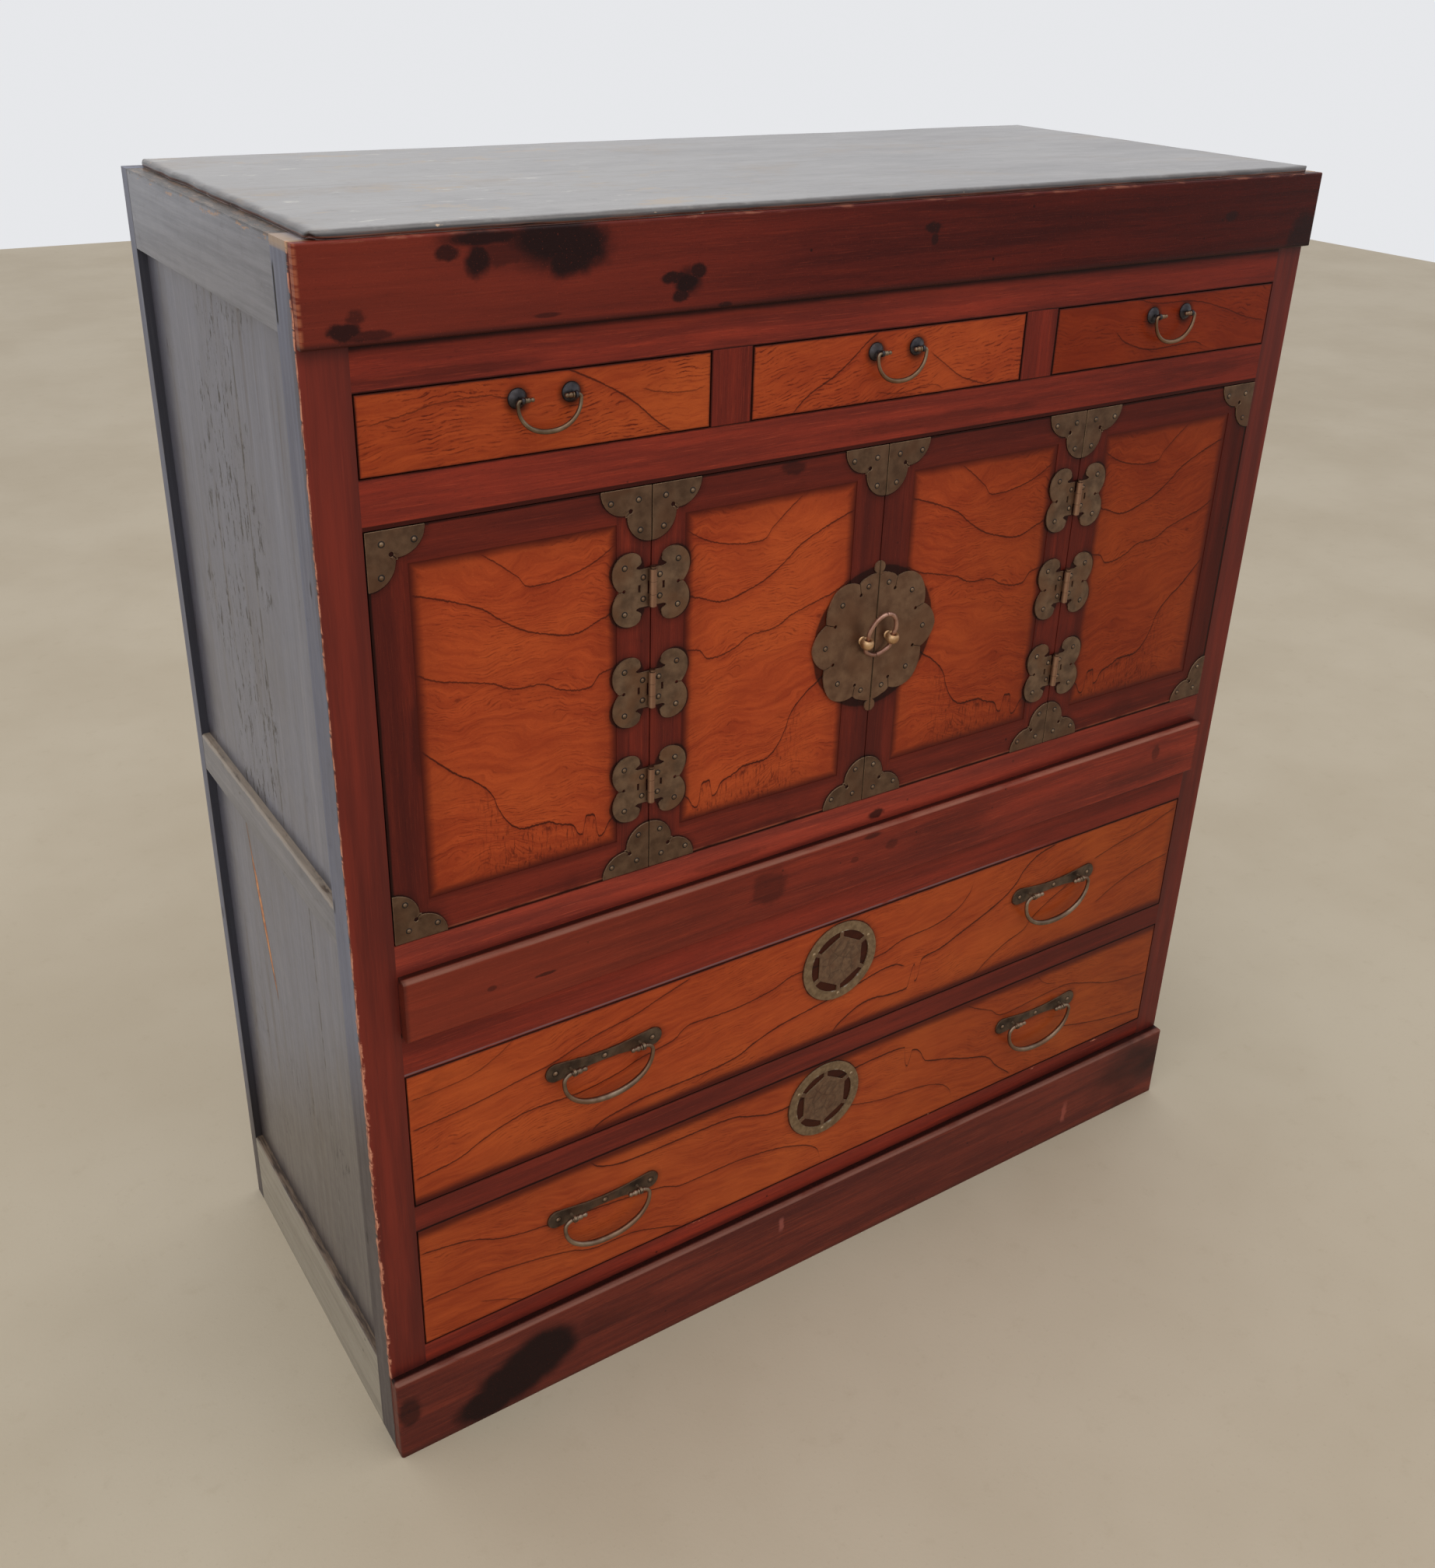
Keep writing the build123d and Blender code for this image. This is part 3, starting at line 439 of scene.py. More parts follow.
M_RAILS = red_wood("mat_front_rails", "x", blots=[
    (22, 577, 11, 6, 0.85, dict(wob=0.5, ns=0.09)), (-160, 578, 50, 5, 0.3, dict(wob=0.5, ns=0.05)), (410, 992, 60, 9, 0.22, dict(wob=0.5, ns=0.03)),
    (-430, 1083, 90, 5, 0.3, dict(wob=0.5, ns=0.03)), (60, 985, 120, 6, 0.3, dict(wob=0.5, ns=0.03))], extra=rails_extra, light=(1.30, 1.42, 1.50))
M_MUNTIN = red_wood("mat_muntins", "z", extra=muntin_extra, light=(1.05, 1.10, 1.18))


SIDE_HI = lin(116, 119, 134)
SIDE_MID = lin(104, 106, 120)
SIDE_LO = lin(40, 36, 38)


def side_colour(g, upper_scuffs=True):
    """old dark lacquer, rubbed grey, brown toward the floor"""
    streak = g.noise(g.vec(g.mul(g.y, 0.16), g.mul(g.x, 0.16), g.mul(g.z, 0.0035)), 1.0, 5, 0.65)
    fine = g.noise(g.vec(g.mul(g.y, 1.1), g.mul(g.x, 1.1), g.mul(g.z, 0.03)), 1.0, 3, 0.6)
    cloud = g.noise(g.vec(g.mul(g.y, 0.012), g.mul(g.x, 0.012), g.mul(g.z, 0.006)), 1.0, 4, 0.6)
    grime = g.noise(g.P, 0.05, 5, 0.7)
    col = g.mix(g.step(streak, 0.32, 0.70), SIDE_MID, SIDE_HI)
    col = g.mix(g.mul(g.step(cloud, 0.45, 0.72), 0.40), col, lin(98, 96, 104))
    col = g.mix(g.mul(g.step(fine, 0.60, 0.76), 0.34), col, SIDE_LO)
    band = g.noise(g.vec(g.mul(g.y, 0.045), g.mul(g.x, 0.045), g.mul(g.z, 0.0022)), 1.0, 4, 0.7)
    col = g.mix(g.mul(g.step(band, 0.53, 0.68), 0.52), col, lin(74, 64, 62))
    col = g.mix(g.mul(g.step(band, 0.46, 0.30), 0.42), col, lin(138, 138, 148))
    col = g.mix(g.mul(g.step(grime, 0.60, 0.74), 0.25), col, lin(66, 60, 62))
    # a ragged diagonal limit, browner and duller below it
    lim = g.add(g.mul(g.y, 0.72), g.mul(g.sn(g.P, 0.012, 3), 18.0))
    low = g.step(g.add(g.z, lim), 560.0, 380.0)
    col = g.mix(g.mul(low, 0.85), col, g.mix(g.step(streak, 0.35, 0.65), lin(68, 57, 52), lin(88, 77, 70)))
    return col, streak, fine, grime


def band_(g):
    return g.noise(g.vec(0.0, 3.0, g.mul(g.z, 0.006)), 1.0, 4, 0.7)


def side_panel_material():
    g = Graph("mat_side_panels")
    col, streak, fine, grime = side_colour(g)
    # black scuffs, mostly down the middle of the upper board
    fl = g.noise(g.vec(g.mul(g.y, 0.13), 0.0, g.mul(g.z, 0.032)), 1.0, 6, 0.78)
    where = g.noise(g.vec(g.mul(g.y, 0.011), 0.0, g.mul(g.z, 0.009)), 1.0, 3, 0.55)
    zone = g.mul(g.step(g.abs(g.sub(g.y, g.add(238.0, g.mul(g.sub(g.z, 850.0), -0.09)))), 125.0, 25.0), g.step(g.z, 600.0, 640.0))
    k = g.mul(g.step(fl, 0.545, 0.59), g.step(g.add(where, g.mul(zone, 0.22)), 0.57, 0.68))
    col = g.mix(g.mul(k, 0.9), col, lin(24, 20, 20))
    # a joint between two boards in each panel, broken by wear
    up = g.step(g.z, 600.0, 610.0)
    jy = g.add(134.0, g.mul(up, 50.0))
    jn = g.noise(g.vec(0.0, 0.0, g.mul(g.z, 0.03)), 1.0, 4, 0.7)
    jw = g.step(g.abs(g.sub(g.add(g.y, g.mul(g.sub(jn, 0.5), 3.0)), jy)), 2.0, 0.5)
    jk = g.mul(jw, g.step(jn, 0.40, 0.55), g.step(g.z, 1120.0, 1050.0))
    col = g.mix(g.mul(jk, 0.85), col, lin(26, 21, 20))
    jl = g.mul(g.step(g.abs(g.sub(g.y, g.add(jy, 3.2))), 1.4, 0.5), g.step(jn, 0.5, 0.4), 0.5)
    col = g.mix(jl, col, lin(128, 122, 120))
    # dark at the foot of each panel and along the back edge
    edge = g.max(g.mul(g.step(g.add(g.z, g.mul(g.sn(g.P, 0.03, 3), 6.0)), 646.0, 628.0), g.step(g.z, 600.0, 620.0)), g.step(g.add(g.z, g.mul(g.sn(g.P, 0.03, 3), 6.0)), 114.0, 94.0))
    col = g.mix(g.mul(edge, 0.7), col, lin(34, 29, 28))
    col = g.mix(g.mul(g.step(g.add(g.y, g.mul(g.sub(band_(g), 0.5), 90.0)), 346.0, 404.0), 0.50), col, lin(52, 42, 40))
    # the open orange split in the lower panel, on the left side only
    t = g.step(g.z, 383.0, 585.0)
    sx = g.add(272.0, g.mul(g.sub(g.z, 383.0), 0.223), g.mul(g.sn(g.vec(0.0, 0.0, g.mul(g.z, 0.05)), 1.0, 3), 1.6))
    half = g.curve(g.z, [(380, 0.3), (400, 1.8), (450, 4.0), (490, 4.6), (520, 3.4), (540, 1.4), (585, 0.6)], 380, 585, 0, 8)
    d = g.abs(g.sub(g.y, sx))
    on = g.mul(g.step(g.sub(d, half), 0.8, -0.4), g.step(g.z, 378.0, 386.0), g.step(g.z, 588.0, 580.0), g.step(g.x, 0.0, -10.0))
    col = g.mix(on, col, g.mix(g.step(g.noise(g.P, 0.12, 3), 0.35, 0.6), lin(168, 92, 52), lin(212, 138, 84)))
    rim = g.mul(g.step(g.abs(g.sub(d, half)), 1.4, 0.3), g.step(g.z, 378.0, 386.0), g.step(g.z, 588.0, 580.0), g.step(g.x, 0.0, -10.0))
    col = g.mix(g.mul(rim, 0.8), col, lin(32, 24, 22))
    rough = g.add(0.34, g.mul(grime, 0.28), g.mul(k, 0.2), g.mul(on, 0.3))
    h = g.add(g.mul(streak, 1.0), g.mul(fine, 0.4), g.mul(k, -0.8), g.mul(on, -1.2), g.mul(jk, -0.8))
    g.bump(h, 0.0006, 0.3)
    return g.done(col, rough, spec=0.3, coat=0.5, coat_rough=0.2)


M_SIDE_PANEL = side_panel_material()


def side_rail_material(name="mat_side_rails"):
    g = Graph(name)
    # grain along the depth on the rails
    streak = g.noise(g.vec(g.mul(g.y, 0.006), g.mul(g.x, 0.16), g.mul(g.z, 0.14)), 1.0, 5, 0.65)
    fine = g.noise(g.vec(g.mul(g.y, 0.05), g.mul(g.x, 1.1), g.mul(g.z, 1.1)), 1.0, 3, 0.6)
    grime = g.noise(g.P, 0.045, 5, 0.7)
    col = g.mix(g.step(streak, 0.32, 0.70), lin(98, 99, 108), lin(122, 122, 130))
    col = g.mix(g.mul(g.step(fine, 0.60, 0.78), 0.22), col, SIDE_LO)
    col = g.mix(g.mul(g.step(grime, 0.58, 0.74), 0.35), col, lin(66, 60, 60))
    low = g.step(g.add(g.z, g.mul(g.sn(g.P, 0.012, 3), 18.0)), 420.0, 300.0)
    col = g.mix(g.mul(low, 0.74), col, g.mix(g.step(streak, 0.35, 0.65), lin(138, 127, 108), lin(158, 147, 126)))
    dots = g.voronoi(g.vec(g.mul(g.y, 0.030), 0.0, g.mul(g.z, 0.045)), 1.0)
    col = g.mix(g.mul(g.step(dots, 0.075, 0.05), 0.8), col, lin(26, 22, 22))
    # bare dusty wood on the upward faces
    nz = g.normal()[2]
    up = g.step(nz, 0.45, 0.75)
    n = g.noise(g.vec(g.mul(g.x, 0.3), g.mul(g.y, 0.025), 0.0), 1.0, 5, 0.7)
    ledge = g.mix(g.step(n, 0.40, 0.62), lin(70, 56, 46), lin(122, 102, 84))
    col = g.mix(up, col, ledge)
    # flaking along the top arris
    fl = g.noise(g.vec(g.mul(g.x, 0.1), g.mul(g.y, 0.035), g.mul(g.z, 0.16)), 1.0, 5, 0.7)
    top = g.mul(g.step(g.add(g.z, g.mul(g.sub(fl, 0.5), 26.0)), 1178.0, 1181.0), g.step(fl, 0.55, 0.58))
    col = g.mix(g.mul(top, 0.8), col, lin(168, 124, 84))
    arris = g.mul(g.step(g.z, 1180.2, 1182.4), g.step(fl, 0.35, 0.5), 0.7)
    col = g.mix(arris, col, lin(26, 20, 18))
    mid = g.mul(g.step(g.abs(g.sub(g.add(g.z, g.mul(g.sub(fl, 0.5), 9.0)), 629.0)), 3.0, 1.2), 0.55)
    col = g.mix(mid, col, lin(170, 156, 140))
    rough = g.add(0.36, g.mul(grime, 0.28), g.mul(up, 0.25))
    g.bump(g.add(g.mul(streak, 1.0), g.mul(fine, 0.4), g.mul(top, -1.0)), 0.0008, 0.5)
    return g.done(col, rough, spec=0.3, coat=0.5, coat_rough=0.22)


M_SIDE_RAIL = side_rail_material()


def post_material(name, back=False):
    """posts: red lacquer in front, dark lacquer on the side, the arris between them rubbed through"""
    g = Graph(name)
    a = g.z
    fine = g.noise(g.vec(g.mul(g.x, 0.75), g.mul(g.y, 0.75), g.mul(a, 0.016)), 1.0, 4, 0.65)
    broad = g.noise(g.vec(g.mul(g.x, 0.06), g.mul(g.y, 0.06), g.mul(a, 0.0035)), 1.0, 4, 0.6)
    red = g.mix(g.step(broad, 0.30, 0.72), lin(96, 33, 25), lin(128, 45, 31))
    red = g.mix(g.mul(g.step(fine, 0.52, 0.78), 0.35), red, lin(146, 58, 40))
    red = g.mix(g.mul(g.step(fine, 0.45, 0.24), 0.5), red, lin(80, 30, 24))
    # the face is darker along the openings
    dk = g.step(g.abs(g.x), 514.0, 504.0)
    red = g.mix(g.mul(dk, 0.35), red, lin(66, 27, 23))
    # painted shadow of the cornice across the head of the post
    red = g.mix(g.mul(g.step(g.z, 1096.0, 1110.0), 0.5), red, lin(60, 25, 22))
    red = g.mix(g.mul(g.step(g.z, 114.0, 102.0), 0.5), red, lin(52, 26, 24))
    red = g.mix(1.0, red, g.mix(g.step(g.x, 0.0, 500.0), (0.86, 0.86, 0.90, 1), (0.74, 0.66, 0.66, 1)), "MULTIPLY")
    col, streak, fine2, grime = side_colour(g)
    dots = g.voronoi(g.vec(0.0, g.mul(g.y, 0.04), g.mul(g.z, 0.010)), 1.0)
    col = g.mix(g.mul(g.step(dots, 0.10, 0.06), 0.7), col, lin(28, 24, 24))
    if not back:
        wob = g.noise(g.vec(0.0, 0.0, g.mul(g.z, 0.05)), 1.0, 5, 0.75)
        wob2 = g.noise(g.vec(0.0, g.mul(g.y, 0.3), g.mul(g.z, 0.055)), 1.0, 4, 0.7)
        lim = g.add(1.4, g.mul(wob, 5.6), g.mul(g.sub(wob2, 0.5), 4.0))
        onside = g.step(g.sub(g.y, lim), -0.3, 0.5)
        out = g.mix(onside, red, col)
        # bare wood where the arris is chipped
        long_ = g.noise(g.vec(0.0, 4.0, g.mul(g.z, 0.012)), 1.0, 3, 0.6)
        seam = g.mul(g.step(g.abs(g.sub(g.y, lim)), 1.3, 0.4), 0.8)
        out = g.mix(seam, out, lin(26, 17, 16))
        chip = g.mul(g.step(g.sub(g.abs(g.sub(g.y, g.sub(lim, 1.0))), g.mul(g.step(wob2, 0.34, 0.60), g.add(2.0, g.mul(g.step(g.z, 640.0, 480.0), 1.2)))), 0.7, -0.3), g.step(g.z, 99.0, 104.0), g.step(g.abs(g.x), 537.0, 538.4), g.step(g.add(wob, g.mul(g.step(g.z, 640.0, 480.0), 0.02)), 0.44, 0.50), g.step(g.add(long_, g.mul(g.step(g.z, 640.0, 480.0), 0.12)), 0.34, 0.44))
        out = g.mix(chip, out, g.mix(g.step(wob2, 0.40, 0.58), lin(150, 78, 54), lin(206, 138, 110)))
        # the split at the head of the post
        slot_ = g.mul(g.step(g.abs(g.sub(g.y, 35.2)), 2.2, 1.2), g.step(g.z, 1120.0, 1124.0), g.step(g.z, 1168.0, 1160.0))
        out = g.mix(slot_, out, lin(18, 15, 15))
        headw = g.mul(g.step(g.add(g.z, g.mul(g.sub(wob, 0.5), 22.0)), 1174.0, 1179.0), g.step(g.abs(g.x), 520.0, 538.0))
        out = g.mix(g.mul(headw, 0.6), out, lin(190, 158, 122))
    else:
        n = g.noise(g.vec(0.0, g.mul(g.y, 0.2), g.mul(g.z, 0.02)), 1.0, 5, 0.75)
        chip = g.mul(g.step(n, 0.70, 0.74), 0.8)
        out = g.mix(chip, col, lin(168, 112, 78))
        # painted shade on the back post's inner face beside the panel recess
        inner = g.step(g.y, 414.5, 412.5)
        out = g.mix(g.mul(inner, 0.75), out, lin(30, 26, 27))
        onside = 1.0
    rough = g.add(0.34, g.mul(grime, 0.25))
    g.bump(g.add(g.mul(fine, 0.6), g.mul(streak, 0.5)), 0.0005, 0.3)
    return g.done(out, rough, spec=0.2)


M_FRONT_POST = post_material("mat_front_posts")
M_BACK_POST = post_material("mat_back_posts", back=True)


# --------------------------------------------------------------- orange zelkova
OR_HI = lin(192, 88, 40)
OR = lin(176, 73, 35)
OR_LO = lin(150, 56, 28)
LINE = lin(52, 17, 12)
STAIN = lin(74, 24, 17)
INK = lin(16, 7, 6)


def drawn(g, u, v, pts, width, jag=0.8, js=0.25, v0=None, v1=None, seed=0.0):
    """one drawn growth line, and the soft shade on its lower side; both 0 to 1"""
    a0, a1 = min(p[0] for p in pts), max(p[0] for p in pts)
    b0, b1 = min(p[1] for p in pts) - 2.0, max(p[1] for p in pts) + 2.0
    zc = g.curve(u, pts, a0, a1, b0, b1)
    n1 = g.mul(g.sn(g.vec(g.mul(u, js), seed, g.mul(v, js * 0.3)), 1.0, 4, 0.65), jag)
    n2 = g.mul(g.sn(g.vec(g.mul(u, js * 5.0), seed + 7.0, 0.0), 1.0, 2), jag * 0.35)
    d = g.sub(g.add(v, n1, n2), zc)
    wn = g.noise(g.vec(g.mul(u, 0.06), seed + 3.0, 0.0), 1.0, 3)
    w = g.mul(g.add(0.12, wn), width * 1.12)
    gate = g.mul(g.step(u, a0 - 1.0, a0 + 6.0), g.step(u, a1 + 1.0, a1 - 6.0))
    line = g.mul(g.step(g.f("DIVIDE", g.abs(d), w), 1.0, 0.15), gate)
    shade = g.mul(g.step(d, -7.0, 0.0), g.step(d, 1.2, 0.0), gate)
    return line, shade, g.mul(g.step(d, 1.0, -1.0), gate)


def zelkova(name, u, lines, slope=0.0, soft=None, dense=None, dark_right=None, fine_amp=1.0, extra=None, tone=1.0, warp=0.0, ripple=1.9, edge=None, halos=(), dr=(-60.0, 500.0), grime=None):
    g = Graph(name)
    uu = u(g)
    # fine grain follows the slope of the figure
    wv = g.mul(g.sn(g.vec(g.mul(uu, 0.010), 0.0, g.mul(g.z, 0.014)), 1.0, 3), 14.0 + warp)
    cc = g.add(g.z, g.mul(uu, -slope), wv)
    fine = g.noise(g.vec(g.mul(uu, 0.045), g.mul(g.y, 0.5), g.mul(cc, 0.55)), 1.0, 4, 0.7)
    dash = g.noise(g.vec(g.mul(uu, 0.16), g.mul(g.y, 0.8), g.mul(cc, 1.25)), 1.0, 3, 0.65)
    rays = g.noise(g.vec(g.mul(uu, 0.014), g.mul(g.y, 0.3), g.mul(cc, 0.16)), 1.0, 4, 0.62)
    cloud = g.noise(g.vec(g.mul(g.x, 0.006), 2.0, g.mul(g.z, 0.008)), 1.0, 3, 0.6)
    col = g.mix(g.step(rays, 0.28, 0.72), OR_LO, OR)
    col = g.mix(g.mul(g.step(cloud, 0.40, 0.70), 0.55), col, OR_HI)
    col = g.mix(g.mul(g.step(fine, 0.52, 0.30), 0.42 * fine_amp), col, OR_LO)
    col = g.mix(g.mul(g.step(dash, 0.60, 0.74), 0.40 * fine_amp), col, lin(112, 38, 20))
    # faint rings that run with the drawn lines
    ring = g.f("SINE", g.mul(g.add(cc, g.mul(g.sn(g.vec(g.mul(uu, 0.012), 1.0, g.mul(g.z, 0.02)), 1.0, 3), 20.0)), 0.40))
    col = g.mix(g.mul(g.step(ring, 0.55, 1.0), g.step(cloud, 0.62, 0.40), 0.16), col, lin(124, 42, 22))
    # fine ripples, broken up, thick in some places and absent in others
    rw = g.mul(g.sn(g.vec(g.mul(uu, 0.030), 5.0, g.mul(g.z, 0.035)), 1.0, 3), 3.4)
    rip = g.f("SINE", g.mul(g.add(cc, rw, g.mul(dash, 2.2)), ripple))
    brk = g.noise(g.vec(g.mul(uu, 0.075), 8.0, g.mul(cc, 0.40)), 1.0, 3, 0.7)
    zone = g.noise(g.vec(g.mul(uu, 0.010), 11.0, g.mul(g.z, 0.018)), 1.0, 3, 0.6)
    rk = g.mul(g.step(rip, 0.10, 0.80), g.step(brk, 0.44, 0.60), g.step(zone, 0.40, 0.60))
    col = g.mix(g.mul(rk, 0.62 * fine_amp), col, lin(104, 34, 18))
    # open pores and glints in the lacquer
    pore = g.noise(g.vec(g.mul(uu, 0.55), g.mul(g.y, 0.8), g.mul(g.z, 0.95)), 1.0, 3, 0.6)
    col = g.mix(g.mul(g.step(pore, 0.60, 0.74), 0.46), col, lin(106, 36, 20))
    col = g.mix(g.mul(g.step(pore, 0.38, 0.27), 0.36), col, lin(206, 104, 56))
    lk = sh = bl = None
    for i, (pts, w, s, jag) in enumerate(lines):
        l, shd, below = drawn(g, uu, g.z, pts, w, jag, seed=i * 11.0)
        l = g.mul(l, s)
        lk = l if lk is None else g.max(lk, l)
        shd = g.mul(shd, s * 0.42)
        sh = shd if sh is None else g.max(sh, shd)
        bl = below
    if dense:
        # close feathered grain under the last line
        dn = g.noise(g.vec(g.mul(uu, 0.34), 4.0, g.mul(g.z, 0.075)), 1.0, 4, 0.7, 0.4)
        k = g.mul(bl, g.step(dn, 0.50, 0.66), g.step(uu, dense[1] + 20.0, dense[1] - 30.0), g.step(uu, dense[0] - 10.0, dense[0] + 10.0), 0.80)
        col = g.mix(k, col, lin(92, 32, 19))
    if sh is not None:
        col = g.mix(sh, col, lin(118, 40, 22))
    if lk is not None:
        col = g.mix(g.mul(lk, 0.90), col, LINE)
    if dark_right is not None:
        col = g.mix(g.step(g.x, *dr), col, g.mix(1.0, col, dark_right, "MULTIPLY"))
    if tone != 1.0:
        col = g.mix(1.0, col, (*(tone if isinstance(tone, tuple) else (tone, tone, tone)), 1), "MULTIPLY")
    if soft:
        k = soft(g)
        col = g.mix(k, col, STAIN)
    if edge:
        # painted shade: a black line right at the edge of the board, where the gap beside it falls in shadow
        e = edge(g)
        col = g.mix(g.mul(g.step(g.add(e, g.mul(g.sn(g.vec(g.mul(g.x, 0.05), 0.0, g.mul(g.z, 0.05)), 1.0, 3), 0.5)), 1.3, 0.4), 0.85), col, INK)
    # painted shade and grime: a dark ring round each given point, the small pulls' posts
    for hx, hz, r0, r1 in halos:
        dx, dz = g.sub(g.x, hx), g.sub(g.z, hz)
        rr = g.f("SQRT", g.add(g.mul(dx, dx), g.mul(dz, dz)))
        col = g.mix(g.mul(g.step(rr, r1, r0), g.step(g.y, 9.0, 7.0), 0.75), col, INK)
    if grime:
        # painted shade and grime round the fittings, from the function passed as grime
        col = g.mix(grime(g), col, lin(24, 11, 9))
    if extra:
        col = extra(g, col)
    h = g.add(g.mul(fine, 0.5), g.mul(dash, -0.35))
    if lk is not None:
        h = g.add(h, g.mul(lk, -0.35))
    g.bump(h, 0.0003, 0.35)
    rough = g.add(0.22, g.mul(fine, 0.13), g.mul(cloud, 0.06))
    return g.done(col, rough, spec=0.10)


def leaf_u(g):
    return g.abs(g.sub(g.abs(g.x), 250.8))


PANEL_LINES = [
    ([(34, 924), (61, 909), (84, 903), (98, 901), (112, 901), (126, 912), (144, 927), (158, 937)], 1.5, 0.85, 1.2),
    ([(34, 864), (52, 858), (76, 851), (96, 855), (119, 863), (136, 873), (160, 891), (193, 905), (219, 914)], 1.9, 0.9, 1.3),
    ([(34, 812), (50, 809), (63, 798), (87, 802), (107, 812), (130, 813), (150, 822), (174, 829), (197, 835), (219, 846)], 1.8, 0.85, 1.5),
    ([(34, 668), (42, 660), (52, 648), (57, 671), (65, 673), (70, 655), (79, 667), (92, 672), (106, 678), (126, 678), (137, 684), (149, 702), (156, 720), (170, 736), (187, 748), (203, 763), (219, 779)], 2.4, 1.0, 1.6),
]


def panel_soft(g):
    u = leaf_u(g)
    n = g.mul(g.sn(g.vec(g.mul(g.x, 0.03), 0.0, g.mul(g.z, 0.03)), 1.0, 3), 1.6)
    e = g.min(g.sub(u, 34.2), g.sub(217.6, u), g.sub(g.z, 636.6), g.sub(940.4, g.z))
    e = g.add(e, n)
    k = g.step(e, 13.0, -1.0)
    glow = g.step(e, 34.0, 4.0)
    return g.max(g.mul(k, 1.0), g.mul(glow, 0.20))


M_PANEL = zelkova("mat_panels", leaf_u, PANEL_LINES, slope=0.10, soft=panel_soft, dense=(44, 170), dark_right=(0.62, 0.56, 0.50, 1), dr=(-60.0, 300.0), warp=14.0, grime=fitting_shade_and_grime)


def g_x(g):
    return g.x


UPPER_LINES = [
    ([(-501, 395), (-437, 400), (-387, 408), (-360, 412), (-333, 420), (-303, 428), (-270, 433), (-237, 443), (-200, 454)], 1.9, 0.85, 0.9),
    ([(-501, 430), (-470, 431), (-440, 434), (-415, 444), (-395, 457)], 1.6, 0.6, 0.9),
    ([(-501, 337), (-460, 342), (-433, 353), (-403, 363), (-377, 367), (-333, 365), (-287, 370), (-260, 378), (-220, 385), (-197, 397), (-153, 395), (-103, 400), (-63, 410), (-20, 408), (37, 392), (77, 402), (120, 405), (147, 413), (166, 428), (173, 442), (175, 456)], 2.0, 0.9, 1.0),
    ([(-317, 307), (-303, 318), (-280, 323), (-243, 327), (-200, 327), (-147, 330), (-120, 340), (-87, 350), (-40, 357), (20, 366), (60, 372), (83, 364)], 2.3, 1.0, 0.9),
    ([(-16, 312), (-2, 324), (37, 337), (63, 333), (87, 332), (99, 338), (104, 350), (97, 362), (107, 365), (133, 370), (160, 380), (193, 393), (220, 405), (240, 420), (253, 437), (273, 450), (300, 456)], 2.7, 1.0, 1.1),
    ([(188, 309), (213, 328), (240, 342), (263, 350), (272, 360), (300, 378), (330, 392)], 1.9, 0.9, 0.9),
    ([(366, 414), (413, 425), (453, 432), (482, 441), (501, 446)], 1.8, 0.8, 0.8),
    ([(380, 348), (417, 365), (453, 375), (501, 381)], 1.8, 0.8, 0.8),
]


def drawer_shade_and_grime(xs, z, dx0, dz0):
    """painted shade and grime: dark under and round the bars of the pulls and the disc"""
    def f(g):
        d = g.sub(hyp(g, g.sub(g.x, dx0), g.sub(g.z, dz0)), 47.5)
        for xc in xs:
            ax = g.abs(g.sub(g.x, xc))
            t = g.mul(ax, 1.0 / 54.0)
            cap = g.sub(hyp(g, g.max(g.sub(ax, 54.0), 0.0), g.sub(g.z, z)), g.add(4.6, g.mul(g.min(g.mul(t, t), 1.0), 5.0)))
            d = g.min(d, cap)
        d = g.add(d, g.mul(g.sn(g.vec(g.mul(g.x, 0.09), 0.0, g.mul(g.z, 0.09)), 1.0, 3), 1.0))
        return g.mul(g.max(g.mul(g.step(d, 3.2, 0.4), 0.90), g.mul(g.step(d, 9.0, 1.0), 0.28)), g.step(g.y, 9.0, 7.0))
    return f


def upper_soft(g):
    n = g.mul(g.sn(g.vec(g.mul(g.x, 0.010), 0.0, 0.0), 1.0, 4, 0.6), 2.4)
    k = g.step(g.add(g.z, n), 322.0, 309.0)
    k = g.max(k, g.mul(g.step(g.add(g.z, n), 346.0, 316.0), 0.18))
    cl = g.noise(g.vec(g.mul(g.x, 0.014), 7.0, g.mul(g.z, 0.03)), 1.0, 4, 0.6)
    k = g.max(k, g.mul(g.step(g.x, -400.0, -500.0), g.step(cl, 0.45, 0.7), g.step(g.z, 400.0, 435.0), 0.5))
    k = g.max(k, g.mul(g.step(g.x, 486.0, 503.0), 0.5))
    return g.max(k, g.mul(g.step(g.z, 454.0, 457.4), 0.6))


M_UPPER = zelkova("mat_upper_drawer", g_x, UPPER_LINES, slope=0.13, soft=upper_soft, edge=lambda g: g.min(g.sub(g.x, -502.0), g.sub(502.0, g.x), g.sub(g.z, 306.4), g.sub(457.4, g.z)), dark_right=(0.78, 0.80, 0.60, 1), fine_amp=1.0, tone=(0.98, 1.06, 1.0), grime=drawer_shade_and_grime((-299.0, 302.0), 400.5, -12.0, 406.5))

